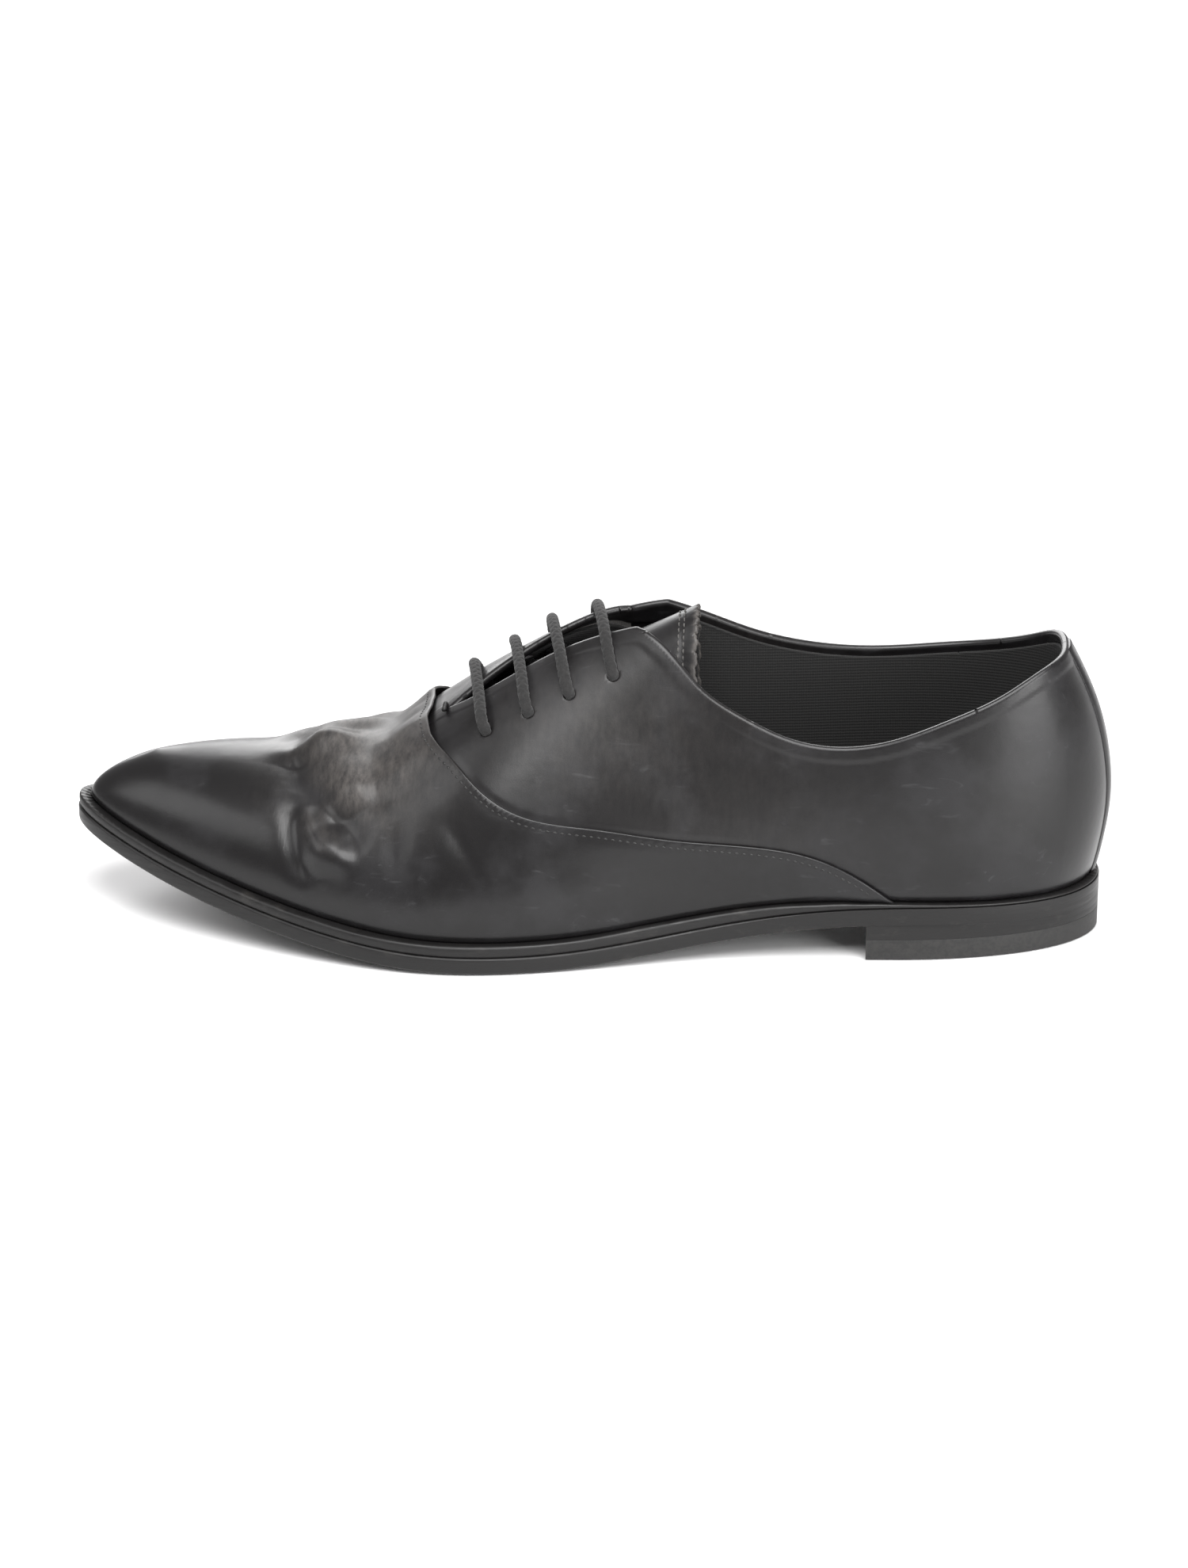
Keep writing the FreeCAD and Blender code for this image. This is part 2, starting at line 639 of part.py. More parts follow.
counter_profile = [(84.0, 0.0), (87.0, 30.0), (98.0, 48.0), (118.0, 60.0), (FAR, 66.0)]
counter_region = side_region(counter_profile, [(FAR, 0.0)])
feature("heel_counter", stiffener_shell.common(counter_region))
feature("toe_puff", stiffener_shell.common(block(-FAR, -106.0, -FAR, FAR)))

half_strip = size("backstay_width") / 2.0
strip_region = block(size("lining_join_x"), FAR, -half_strip, half_strip, 0.0, ANKLE_HEIGHT)
backstay = LASTS[-size("backstay_thickness")].common(strip_region).cut(LASTS[0.0])
feature("backstay", open_collar(backstay.common(ABOVE_SEAT)))

# ---------------------------------------------------------------- insole and sock

insole_floor = upper_in + size("fit_gap")
insole_top = insole_floor + size("insole_thickness")
pad_floor = seat_height(120.0) + insole_top - size("heel_pad_thickness")
heel_pad = node(make_heel_pad(), "heel_pad")
cavity = feature("foot_cavity", LASTS[lining_in + size("fit_gap")], kept=False)
insole_band = feature("insole_band", above(seat_height, insole_floor).common(below(seat_height, insole_top)),
                      kept=False)
insole_full = boolean("Common", "insole_full", cavity, insole_band)
insole_whole = boolean("Cut", "insole_whole", insole_full, heel_pad)
split_at_flex(insole_whole, "insole")
sock_band = feature("sock_band", above(seat_height, insole_top + size("fit_gap")).common(
    below(seat_height, insole_top + size("fit_gap") + size("sock_thickness"))), kept=False)
sock_whole = boolean("Common", "sock_whole", cavity, sock_band)
split_at_flex(sock_whole, "sock_liner")

# ---------------------------------------------------------------- tongue

tongue_start = -44.0
tongue_lowest = 45.0


def tongue_depth(x):
    """The tongue leaves the vamp lining at its stitched root and drops clear of the laces behind it."""
    return size("tongue_rise") + size("tongue_drop") * smooth_step((x - tongue_start) / 11.0)


edge = profile("tongue_edge")
tongue_plan = plan_region([(x, -y) for x, y in edge] + [(x, y) for x, y in reversed(edge)]).common(
    block(-FAR, FAR, -FAR, FAR, tongue_lowest))
tongue_layers = [last_solid(lambda x, extra=extra: tongue_depth(x) + extra) for extra in
                 (0.0, size("tongue_thickness"), size("tongue_thickness") + size("tongue_lining_thickness"))]
feature("tongue", tongue_layers[0].cut(tongue_layers[1]).common(tongue_plan))
feature("tongue_lining", tongue_layers[1].cut(tongue_layers[2]).common(tongue_plan))

# ---------------------------------------------------------------- lace and bar tack

def raised(x, y, height):
    return surface_at(x, y, 0.0) + normal_at(x, y) * height


SHARP_TURN = math.radians(60.0)


def rounded_path(points):
    """Straight runs joined by tangent arcs as large as the runs and the eyelets allow; prints the radii."""
    edges = []
    radii = []
    last_end = points[0]
    for before, corner, after in zip(points, points[1:], points[2:]):
        inward = (before - corner).normalize()
        outward = (after - corner).normalize()
        turn = math.pi - inward.getAngle(outward)
        reach = 0.45 * min((before - corner).Length, (after - corner).Length)
        if turn > SHARP_TURN:
            reach = min(reach, size("lace_turn_reach"))
        radii.append(reach / math.tan(turn / 2.0))
        start = corner + inward * reach
        end = corner + outward * reach
        middle = (inward + outward).normalize()
        apex = corner + middle * (math.hypot(radii[-1], reach) - radii[-1])
        edges.append(Part.makeLine(last_end, start))
        edges.append(Part.Arc(start, apex, end).toShape())
        last_end = end
    edges.append(Part.makeLine(last_end, points[-1]))
    print("lace arc radii", [round(radius, 1) for radius in radii])
    return Part.Wire(edges)


LACE_INSIDE = -6.3
LACE_OUTSIDE = 3.3
BAR_HEIGHTS = (2.9, 3.0, 5.0, 4.2)


def bar_points(index):
    """One straight bar of lacing, from inside the lateral eyelet to inside the medial one."""
    (x_near, y_near), (x_far, y_far) = LATERAL_EYELETS[index], MEDIAL_EYELETS[index]
    height = BAR_HEIGHTS[index]
    points = [raised(x_near, y_near, LACE_INSIDE), raised(x_near, y_near, LACE_OUTSIDE)]
    for share in (0.25, 0.72):
        points.append(raised(x_near + share * (x_far - x_near), y_near + share * (y_far - y_near), height))
    return points + [raised(x_far, y_far, LACE_OUTSIDE), raised(x_far, y_far, LACE_INSIDE)]


def tail_points(index, steps):
    """Lace end put away behind the medial facing."""
    x, y = MEDIAL_EYELETS[index]
    return [raised(x + dx, y + dy, height) for dx, dy, height in steps]


top_tail = tail_points(3, ((-3.0, 5.0, LACE_INSIDE), (-8.0, 8.0, -6.6)))
toe_tail = tail_points(0, ((1.5, 6.5, LACE_INSIDE), (4.0, 12.0, -7.7)))
bars = [bar_points(index) for index in range(4)]
lace_points = (top_tail[::-1] + bars[3][::-1] + bars[2] + bars[1][::-1] + bars[0] + toe_tail)
lace_path = rounded_path(lace_points)
lace_radius = size("lace_diameter") / 2.0
start_way = lace_points[1] - lace_points[0]
lace_end = Part.Wire(Part.makeCircle(lace_radius, lace_points[0], start_way))
lace_solid = lace_path.makePipeShell([lace_end], True, True)
print("lace length", round(lace_path.Length, 1),
      "volume / (section x length)", round(lace_solid.Volume / (math.pi * lace_radius ** 2 * lace_path.Length), 4))
feature("lace", lace_solid)

aglet_length = 10.0
aglets = []
for tip, inner in ((lace_points[0], lace_points[1]), (lace_points[-1], lace_points[-2])):
    aglets.append(Part.makeCylinder(lace_radius - 0.1, aglet_length, tip, tip - inner))
feature("lace_aglets", Part.makeCompound(aglets))

tack_length = 5.0
tack_radius = 0.5
tack_height = surface_at(THROAT_BASE[0], THROAT_BASE[1], 0.0).z + 0.9
tack = doc.addObject("Part::Cylinder", "throat_bar_tack")
tack.Radius = tack_radius
tack.Height = tack_length
tack.Placement = FreeCAD.Placement(
    Vector(THROAT_BASE[0] - 0.5, THROAT_BASE[1] - tack_length / 2.0, tack_height),
    FreeCAD.Rotation(Vector(1, 0, 0), -90))
node(tack, "throat_bar_tack")

# ---------------------------------------------------------------- checks and export

doc.recompute()
for item in doc.Objects:
    if {"Invalid", "Error"} & set(item.State):
        raise RuntimeError(f"{item.Label} failed to recompute")
for item in NODES:
    if item.Shape.isNull() or not item.Shape.isValid() or item.Shape.Volume <= 0.0:
        raise RuntimeError(f"{item.Label} has no valid solid")
os.makedirs("parts", exist_ok=True)
for item in NODES:
    shape = item.Shape.copy()
    shape.translate(Vector(-size("heel_rest_x"), 0, 0))
    shape.exportStep(f"parts/{item.Label}.step")
print(len(NODES), "nodes written")
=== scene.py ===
import math

import bpy
import numpy as np
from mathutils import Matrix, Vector


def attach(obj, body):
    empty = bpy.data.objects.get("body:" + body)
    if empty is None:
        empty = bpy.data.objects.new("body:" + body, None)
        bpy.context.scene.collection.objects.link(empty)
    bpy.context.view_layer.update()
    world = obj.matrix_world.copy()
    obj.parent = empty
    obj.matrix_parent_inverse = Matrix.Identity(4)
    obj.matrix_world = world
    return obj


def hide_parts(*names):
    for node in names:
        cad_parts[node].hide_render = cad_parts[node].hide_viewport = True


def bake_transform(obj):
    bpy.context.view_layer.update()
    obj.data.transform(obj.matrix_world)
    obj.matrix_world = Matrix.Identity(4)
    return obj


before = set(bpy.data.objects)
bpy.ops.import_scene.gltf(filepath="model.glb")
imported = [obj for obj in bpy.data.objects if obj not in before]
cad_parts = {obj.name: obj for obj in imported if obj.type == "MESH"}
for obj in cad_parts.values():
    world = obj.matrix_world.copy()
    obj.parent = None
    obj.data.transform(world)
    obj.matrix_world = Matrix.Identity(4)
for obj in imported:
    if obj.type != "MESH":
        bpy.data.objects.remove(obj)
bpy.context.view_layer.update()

# Looks of a man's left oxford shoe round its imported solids. Shapes are worked out in millimetres about the
# middle of the sole's length, as in the solids' source, and moved into the frame's metres as meshes are made.
MM = 0.001
REST_X = 112.0  # the middle of the heel's resting face, the frame's origin
HALF = 150.0
OUTSOLE = 5.0
TOP_PIECE = 6.0
LEATHER = 1.4
LINING_OUT = 2.42  # depths of the lining's two faces inside the last
LINING_IN = 3.4
LINING_GAP = 0.05
LINING_DROP = 2.2  # from the leather's folded edge down to the lining's edge
LINING_JOIN_X = 108.0
TOE_ROLL = 20.0
TOE_ROLL_START = 0.60
HEEL_ROUND_END = 0.22
BULGE_HEIGHT = 16.0
TUCK = 60.0  # how far a sheet goes on under the foot for each unit of over past the feather line
BREAST_CENTRE_X = -73.6
BREAST_RADIUS = 160.0
FAR = 300.0

PROFILES = {
    "lateral_width": [(0, 0.0), (15, 15.5), (30, 27.0), (45, 33.0), (60, 34.3), (75, 38.0), (90, 48.3),
                      (105, 54.0), (120, 46.6), (135, 33.8), (150, 21.2), (165, 10.2), (180, 0.0)],
    "medial_width": [(0, 0.0), (15, 15.5), (30, 27.0), (45, 33.0), (60, 31.6), (75, 29.8), (90, 36.3),
                     (105, 44.5), (120, 44.6), (135, 35.3), (150, 23.0), (165, 11.2), (180, 0.0)],
    "sole_height": [(-150, 25.0), (-128, 17.0), (-104, 10.2), (-75, 4.2), (-45, 0.6), (-27, 0.0),
                    (0, 0.6), (30, 4.0), (60, 8.2), (85, 10.4), (110, 11.0), (150, 11.0)],
    "edge_height": [(-150, 8.3), (0, 8.3), (50, 8.0), (90, 6.2), (150, 6.0)],
    "feather_inset": [(-150, 3.6), (-40, 3.4), (20, 2.6), (70, 2.2), (150, 2.2)],
    "ridge": [(-127, 46.3), (-105, 48.3), (-80, 48.9), (-55, 56.6), (-30, 73.0), (0, 90.0),
              (30, 105.0), (60, 117.0), (95, 126.0), (150, 130.0)],
    "side_bulge": [(-150, 0.0), (-60, 0.8), (-20, 1.5), (40, 1.0), (90, 2.6), (150, 2.6)],
    "side_hollow": [(-150, 0.0), (-60, 0.0), (-10, 0.08), (40, 0.1), (100, 0.0), (150, 0.0)],
    "heel_back": [(-10, -3.0), (0, 0.0), (10, 2.2), (24, 3.8), (36, 2.9), (45, 1.0), (55, -2.5),
                  (64, -6.8), (80, -16.0), (120, -40.0)],
}
SEAM = [(-43.6, 61.8), (-37.8, 57.8), (-29.0, 51.7), (-17.6, 45.2), (5.0, 40.6), (27.5, 36.5),
        (50.0, 34.1), (66.0, 31.4), (79.0, 25.9), (91.0, 16.9), (97.0, 11.0)]
TOPLINES = {
    -1: [(12.2, 91.4), (15.0, 91.9), (18.5, 90.8), (24.0, 87.0), (33.3, 77.5), (47.0, 68.8),
         (60.5, 63.2), (74.0, 61.6), (88.0, 63.7), (105.0, 70.0), (121.0, 77.0), (131.6, 82.8),
         (138.5, 85.3), (152.0, 87.5)],
    1: [(12.2, 93.2), (15.5, 93.9), (19.5, 93.0), (24.5, 91.0), (36.0, 86.0), (47.5, 81.0), (60.0, 77.2),
        (82.0, 74.2), (105.0, 75.4), (121.0, 77.8), (131.6, 81.6), (138.5, 85.3), (152.0, 87.5)],
}
FACINGS = {
    -1: [(-39.5, -11.0), (-36.5, -12.3), (-10.0, -12.2), (7.0, -13.2), (12.2, -14.0)],
    1: [(-39.5, -11.0), (-36.0, -9.0), (-22.0, -2.5), (-12.0, 1.5), (2.0, 6.5), (12.2, 11.0)],
}
EYELETS = {
    -1: ((-26.7, -26.6), (-14.7, -25.6), (-3.1, -23.9), (9.3, -22.1)),
    1: ((-31.5, 5.5), (-20.5, 10.0), (-10.0, 14.0), (1.8, 18.0)),
}
THROAT_BASE = (-39.5, -11.0)
SIDE_NAMES = {-1: "lateral", 1: "medial"}


# ---------------------------------------------------------------- curves and the surface of the last

def smooth_step(value):
    value = np.clip(value, 0.0, 1.0)
    return value * value * (3.0 - 2.0 * value)


def bell(values, centre, width):
    return np.exp(-((values - centre) / width) ** 2)


def smooth_curve(pairs):
    """Natural cubic spline through (place, size) pairs, as a function of arrays of places."""
    places = np.array([pair[0] for pair in pairs], float)
    sizes = np.array([pair[1] for pair in pairs], float)
    gaps = np.diff(places)
    slopes = np.diff(sizes) / gaps
    count = len(places)
    system = np.eye(count)
    right = np.zeros(count)
    for i in range(1, count - 1):
        system[i, i - 1:i + 2] = gaps[i - 1], 2.0 * (gaps[i - 1] + gaps[i]), gaps[i]
        right[i] = 6.0 * (slopes[i] - slopes[i - 1])
    bends = np.linalg.solve(system, right)

    def value(place):
        place = np.asarray(place, float)
        i = np.clip(np.searchsorted(places, place, side="right") - 1, 0, count - 2)
        before = place - places[i]
        after = places[i + 1] - place
        straight = (sizes[i] * after + sizes[i + 1] * before) / gaps[i]
        return straight - before * after * (
            bends[i] * (1.0 + after / gaps[i]) + bends[i + 1] * (1.0 + before / gaps[i])) / 6.0

    return value


CURVES = {name: smooth_curve(pairs) for name, pairs in PROFILES.items()}
sole_height = CURVES["sole_height"]


def seat_height(x):
    """Top of the sole edge, where the upper meets the welt."""
    return sole_height(x) + CURVES["edge_height"](x)


def outline(along, side, inset):
    """Plan points (x, y) of one side of the sole outline moved inwards, y measured outwards."""
    width = CURVES["lateral_width" if side < 0 else "medial_width"]
    step = 0.5

    def raw(degrees):
        over = (degrees < 0.0) | (degrees > 180.0)
        folded = np.where(degrees < 0.0, -degrees, np.where(degrees > 180.0, 360.0 - degrees, degrees))
        return HALF * np.cos(np.radians(folded)), width(folded) * np.where(over, -1.0, 1.0)

    angle = 180.0 * np.asarray(along, float)
    x, y = raw(angle)
    x_before, y_before = raw(angle - step)
    x_after, y_after = raw(angle + step)
    run = np.hypot(x_after - x_before, y_after - y_before)
    return x - (y_after - y_before) / run * inset, y + (x_after - x_before) / run * inset


def last_surface(along, turn, side, depth):
    """Points of one side of the last; turn runs 0 to 90 degrees from the feather line to the ridge."""
    cosine = np.cos(np.radians(turn))
    sine = np.sin(np.radians(turn))
    inset = CURVES["feather_inset"](HALF * np.cos(np.pi * along)) + depth
    x, width = outline(along, side, inset)
    middle_x = (x + outline(along, -side, inset)[0]) / 2.0
    toe = smooth_step((along - TOE_ROLL_START) / (1.0 - TOE_ROLL_START))
    seat = seat_height(x)
    rise = (CURVES["ridge"](middle_x + TOE_ROLL * toe) - seat - depth) * sine
    level = rise / BULGE_HEIGHT
    bulge = CURVES["side_bulge"](x) * level * np.exp(1.0 - level)
    bulge = bulge * np.clip(width / 20.0, 0.0, 1.0) * np.minimum(3.0 * cosine, 1.0)
    hollow = CURVES["side_hollow"](x) * np.sin(2.0 * np.radians(turn)) ** 2
    y = width * cosine * (1.0 - hollow) + bulge
    heel = 1.0 - smooth_step(along / HEEL_ROUND_END)
    x = middle_x + (x - middle_x) * cosine + TOE_ROLL * toe * (1.0 - cosine * cosine)
    x = x + heel * CURVES["heel_back"](seat + rise - seat_height(HALF))
    return np.stack([x, side * y, seat + rise], axis=-1)


def both_sides(params, depth):
    """Points at (along, over); over runs from -1 at the outer feather line by 0 at the ridge to 1."""
    along, over = params[:, 0], params[:, 1]
    turn = 90.0 * (1.0 - np.minimum(np.abs(over), 1.0))
    return np.where((over < 0.0)[:, None], last_surface(along, turn, -1, depth),
                    last_surface(along, turn, 1, depth))


def wrapped(params, depth=0.0):
    """Points at (along, over), going on under the foot where over is past the feather line."""
    points = both_sides(params, depth)
    over = params[:, 1]
    tuck = np.maximum(np.abs(over) - 1.0, 0.0)[:, None]
    inward = np.stack([-0.15 * (points[:, 0] - 10.0) / HALF, -np.sign(over), np.full(len(over), -0.8)], -1)
    return points + tuck * TUCK * inward


def bisect(function, low, high, target):
    """Where a falling function of arrays reaches its target."""
    low = np.full(np.shape(target), float(low))
    high = np.full(np.shape(target), float(high))
    for _ in range(26):
        middle = (low + high) / 2.0
        over = function(middle) > target
        low = np.where(over, middle, low)
        high = np.where(over, high, middle)
    return (low + high) / 2.0


def locate(x, y):
    """(along, over) of the point of the last straight above the plan point (x, y), by Newton's method."""
    side = -1 if y < 0 else 1
    wanted = np.array([(x, y)], float)
    state = np.array([(0.45, 60.0)])
    nudges = np.array([(1e-4, 0.0), (0.0, 1e-2)])
    longest = np.array([0.04, 12.0])

    def plan(state):
        return last_surface(state[:, 0], state[:, 1], side, 0.0)[:, :2]

    for _ in range(24):
        here = plan(state)
        slopes = [(plan(state + nudge) - here) / nudge.max() for nudge in nudges]
        step = np.linalg.solve(np.stack(slopes, -1), (wanted - here)[:, :, None])[:, :, 0]
        state = np.clip(state + np.clip(step, -longest, longest), (0.01, 1.0), (0.99, 89.98))
    return np.stack([state[:, 0], side * (1.0 - state[:, 1] / 90.0)], axis=-1)


def surface_frame(params):
    """Points of the last and the outward normals there."""
    reach = 1e-4
    across = wrapped(params + (0.0, reach)) - wrapped(params - (0.0, reach))
    forward = wrapped(params + (reach, 0.0)) - wrapped(params - (reach, 0.0))
    normals = np.cross(across, forward)
    return wrapped(params), normals / np.linalg.norm(normals, axis=1)[:, None]


def plan_frame(x, y):
    """Point of the last straight above (x, y) and the outward normal there."""
    points, normals = surface_frame(locate(x, y))
    return points[0], normals[0]


def raised(x, y, height):
    point, normal = plan_frame(x, y)
    return point + normal * height


def run_lengths(points):
    """Length along a polyline up to each of its points."""
    return np.concatenate([[0.0], np.cumsum(np.linalg.norm(np.diff(points, axis=0), axis=1))])


def picked(points, runs, wanted):
    """Points of a polyline at the wanted lengths along it."""
    return np.stack([np.interp(wanted, runs, column) for column in points.T], axis=-1)


def curve_through(points, count):
    """Plane or space points along a smooth curve through a few given points."""
    points = np.array(points, float)
    runs = run_lengths(points)
    places = np.linspace(0.0, runs[-1], count)
    return np.stack([smooth_curve(list(zip(runs, column)))(places) for column in points.T], axis=-1)


def to_line(points, line):
    """Distance of each point to a polyline, the place along it and the index of the nearest run."""
    best = np.full(len(points), np.inf)
    place = np.zeros(len(points))
    run_start = 0.0
    for start, end in zip(line[:-1], line[1:]):
        way = end - start
        length = np.linalg.norm(way)
        share = np.clip((points - start) @ way / length ** 2, 0.0, 1.0)
        distance = np.linalg.norm(points - start - share[:, None] * way, axis=1)
        closer = distance < best
        best = np.where(closer, distance, best)
        place = np.where(closer, run_start + share * length, place)
        run_start += length
    return best, place


def inside(points, polygon):
    """Whether plane points lie in a polygon."""
    x, y = points[:, 0], points[:, 1]
    odd = np.zeros(len(points), bool)
    for (x1, y1), (x2, y2) in zip(polygon, np.roll(polygon, -1, axis=0)):
        if y1 != y2:
            odd ^= ((y1 > y) != (y2 > y)) & (x < x1 + (y - y1) * (x2 - x1) / (y2 - y1))
    return odd


def border(line, closing):
    """Field of plane points: distance to a line, positive on the closing corners' side of it."""
    polygon = np.array(list(line) + list(closing), float)
    line = np.array(line, float)

    def field(points):
        return to_line(points, line)[0] * np.where(inside(points, polygon), 1.0, -1.0)

    return field


def seam_border():
    """Positive in front of the seam, in side view."""
    line = curve_through([SEAM_TOP] + SEAM, 60)
    return border(np.vstack([[(SEAM_TOP[0], FAR)], line]), [(SEAM[-1][0], -FAR), (-FAR, -FAR), (-FAR, FAR)])


def topline_border(side):
    """Positive below the topline, in side view."""
    line = curve_through(TOPLINES[side], 60)
    start, end = TOPLINES[side][0], TOPLINES[side][-1]
    return border(np.vstack([[(-FAR, start[1])], line]), [(FAR, end[1]), (FAR, -FAR), (-FAR, -FAR)])


def facing_border(side):
    """Positive outside the facing's edge, in plan; behind the throat the edge crosses over the ridge."""
    line = curve_through(FACINGS[side], 30)
    end_x, end_y = FACINGS[side][-1]
    behind = [(end_x + 12.0, end_y + side * 1.5), (end_x + 14.0, -side * RIDGE_CROSSING)]
    return border(np.vstack([[(-FAR, THROAT_BASE[1])], line, behind]),
                  [(FAR, -side * RIDGE_CROSSING), (FAR, side * FAR), (-FAR, side * FAR)])


SEAM_TOP = (-43.7, 64.5)
RIDGE_CROSSING = 20.0
front_of_seam = seam_border()
below_topline = {side: topline_border(side) for side in SIDE_NAMES}
beside_facing = {side: facing_border(side) for side in SIDE_NAMES}


# ---------------------------------------------------------------- meshes

def grid(first, second):
    """Params and quads over two lists of values; the quads face away from the last."""
    params = np.array([(a, b) for a in first for b in second], float)
    width = len(second)
    quads = []
    for i in range(len(first) - 1):
        for j in range(width - 1):
            corner = i * width + j
            quads.append((corner, corner + 1, corner + width + 1, corner + width))
    return params, quads


def renumbered(faces):
    """The points that faces use, and the faces by their numbers among those points."""
    used = sorted({i for face in faces for i in face})
    place = {old: new for new, old in enumerate(used)}
    return used, [tuple(place[i] for i in face) for face in faces]


def clipped(params, faces, field):
    """The part of a mesh where field(params) is positive, with new points on its border."""
    values = field(params)
    keep = values >= 0.0
    edges = {}
    cut_faces = []
    kept = []
    for face in faces:
        count = sum(keep[i] for i in face)
        if count == len(face):
            kept.append(face)
        elif count:
            cut_faces.append(face)
            for a, b in zip(face, face[1:] + face[:1]):
                if keep[a] != keep[b]:
                    edges.setdefault((min(a, b), max(a, b)), len(params) + len(edges))
    if edges:
        pairs = np.array(list(edges))
        low, high = params[pairs[:, 0]], params[pairs[:, 1]]
        low_value, high_value = values[pairs[:, 0]], values[pairs[:, 1]]
        for _ in range(4):
            share = (low_value / (low_value - high_value))[:, None]
            middle = low + np.clip(share, 0.02, 0.98) * (high - low)
            value = field(middle)
            same = (value >= 0.0) == (low_value >= 0.0)
            low = np.where(same[:, None], middle, low)
            low_value = np.where(same, value, low_value)
            high = np.where(same[:, None], high, middle)
            high_value = np.where(same, high_value, value)
        params = np.vstack([params, middle])
    for face in cut_faces:
        polygon = []
        for a, b in zip(face, face[1:] + face[:1]):
            if keep[a]:
                polygon.append(a)
            if keep[a] != keep[b]:
                polygon.append(edges[(min(a, b), max(a, b))])
        if len(polygon) > 2:
            kept.append(tuple(polygon))
    used, faces = renumbered(kept)
    return params[used], faces


def ring_faces(rings, sides, closed=False):
    """Quads between rings of points that follow each other, and back to the first ring if closed."""
    faces = []
    for ring in range(rings if closed else rings - 1):
        after = (ring + 1) % rings
        for k in range(sides):
            m = (k + 1) % sides
            faces.append((ring * sides + k, ring * sides + m, after * sides + m, after * sides + k))
    return faces


def vertex_normals(points, faces):
    normals = np.zeros_like(points)
    for size in {len(face) for face in faces}:
        group = np.array([face for face in faces if len(face) == size])
        corners = points[group]
        area = np.zeros((len(group), 3))
        for k in range(1, size - 1):
            area += np.cross(corners[:, k] - corners[:, 0], corners[:, k + 1] - corners[:, 0])
        for k in range(size):
            np.add.at(normals, group[:, k], area)
    return normals / np.maximum(np.linalg.norm(normals, axis=1), 1e-9)[:, None]


def border_steps(faces):
    """{point: next point} round every open border, with the mesh on the left."""
    steps = set()
    for face in faces:
        for a, b in zip(face, face[1:] + face[:1]):
            if (b, a) in steps:
                steps.remove((b, a))
            else:
                steps.add((a, b))
    return dict(steps)


def make_piece(name, points, faces, material, values=None):
    """Object from millimetre points; values are per-point attributes for its material."""
    mesh = bpy.data.meshes.new(name)
    mesh.from_pydata((np.asarray(points) - (REST_X, 0.0, 0.0)) * MM, [], faces)
    for attribute, numbers in (values or {}).items():
        layer = mesh.attributes.new(attribute, "FLOAT", "POINT")
        layer.data.foreach_set("value", np.asarray(numbers, np.float32))
    mesh.polygons.foreach_set("use_smooth", [True] * len(mesh.polygons))
    mesh.update()
    piece = bpy.data.objects.new(name, mesh)
    bpy.context.scene.collection.objects.link(piece)
    piece.data.materials.append(material)
    return piece


RIM_ANGLES = (30.0, 60.0, 90.0, 120.0, 150.0)


def thick_sheet(name, faces, outer, inner, material, values=None):
    """Sheet between two surfaces of the same faces, with a rounded edge round every border."""
    count = len(outer)
    steps = border_steps(faces)
    before = {b: a for a, b in steps.items()}
    ring = [i for i in steps if i in before]
    place = {i: k for k, i in enumerate(ring)}
    after = np.array([steps[i] for i in ring])
    behind = np.array([before[i] for i in ring])
    index = np.array(ring)
    middle = (outer[index] + inner[index]) / 2.0
    half = (outer[index] - inner[index]) / 2.0
    along = (outer[after] + inner[after]) / 2.0 - (outer[behind] + inner[behind]) / 2.0
    outward = np.cross(along, half)
    outward /= np.maximum(np.linalg.norm(outward, axis=1), 1e-9)[:, None]
    radius = np.linalg.norm(half, axis=1)[:, None]
    points = [outer, inner]
    for degrees in RIM_ANGLES:
        angle = math.radians(degrees)
        points.append(middle + half * math.cos(angle) + outward * radius * math.sin(angle))
    all_faces = list(faces) + [tuple(i + count for i in reversed(face)) for face in faces]
    rows = [{i: i for i in ring}]
    for k in range(len(RIM_ANGLES)):
        rows.append({i: 2 * count + k * len(ring) + place[i] for i in ring})
    rows.append({i: i + count for i in ring})
    for upper, lower in zip(rows, rows[1:]):
        for i in ring:
            if steps[i] in place:
                all_faces.append((upper[steps[i]], upper[i], lower[i], lower[steps[i]]))
    full_values = {}
    for attribute, numbers in (values or {}).items():
        numbers = np.asarray(numbers)
        full_values[attribute] = np.concatenate([numbers, numbers] + [numbers[index]] * len(RIM_ANGLES))
    return make_piece(name, np.vstack(points), all_faces, material, full_values)


def tube(name, path, radius, sides, material, bump):
    """Closed round tube along a path; bump(length, angles) adds to the radius."""
    path = np.asarray(path)
    ways = np.gradient(path, axis=0)
    ways /= np.linalg.norm(ways, axis=1)[:, None]
    side_way = np.cross(ways[0], (0.0, 0.0, 1.0) if abs(ways[0][2]) < 0.9 else (1.0, 0.0, 0.0))
    angles = 2.0 * np.pi * np.arange(sides) / sides
    points = []
    for centre, way, run in zip(path, ways, run_lengths(path)):
        side_way = side_way - way * (side_way @ way)
        side_way /= np.linalg.norm(side_way)
        other = np.cross(way, side_way)
        size = radius + bump(run, angles)
        points.append(centre + size[:, None] * (np.cos(angles)[:, None] * side_way
                                                + np.sin(angles)[:, None] * other))
    points = np.vstack(points + [path[:1], path[-1:]])
    last = len(path) - 1
    faces = ring_faces(len(path), sides)
    for k in range(sides):
        m = (k + 1) % sides
        faces.append(((last + 1) * sides, m, k))
        faces.append(((last + 1) * sides + 1, last * sides + k, last * sides + m))
    return make_piece(name, points, faces, material)


# ---------------------------------------------------------------- materials

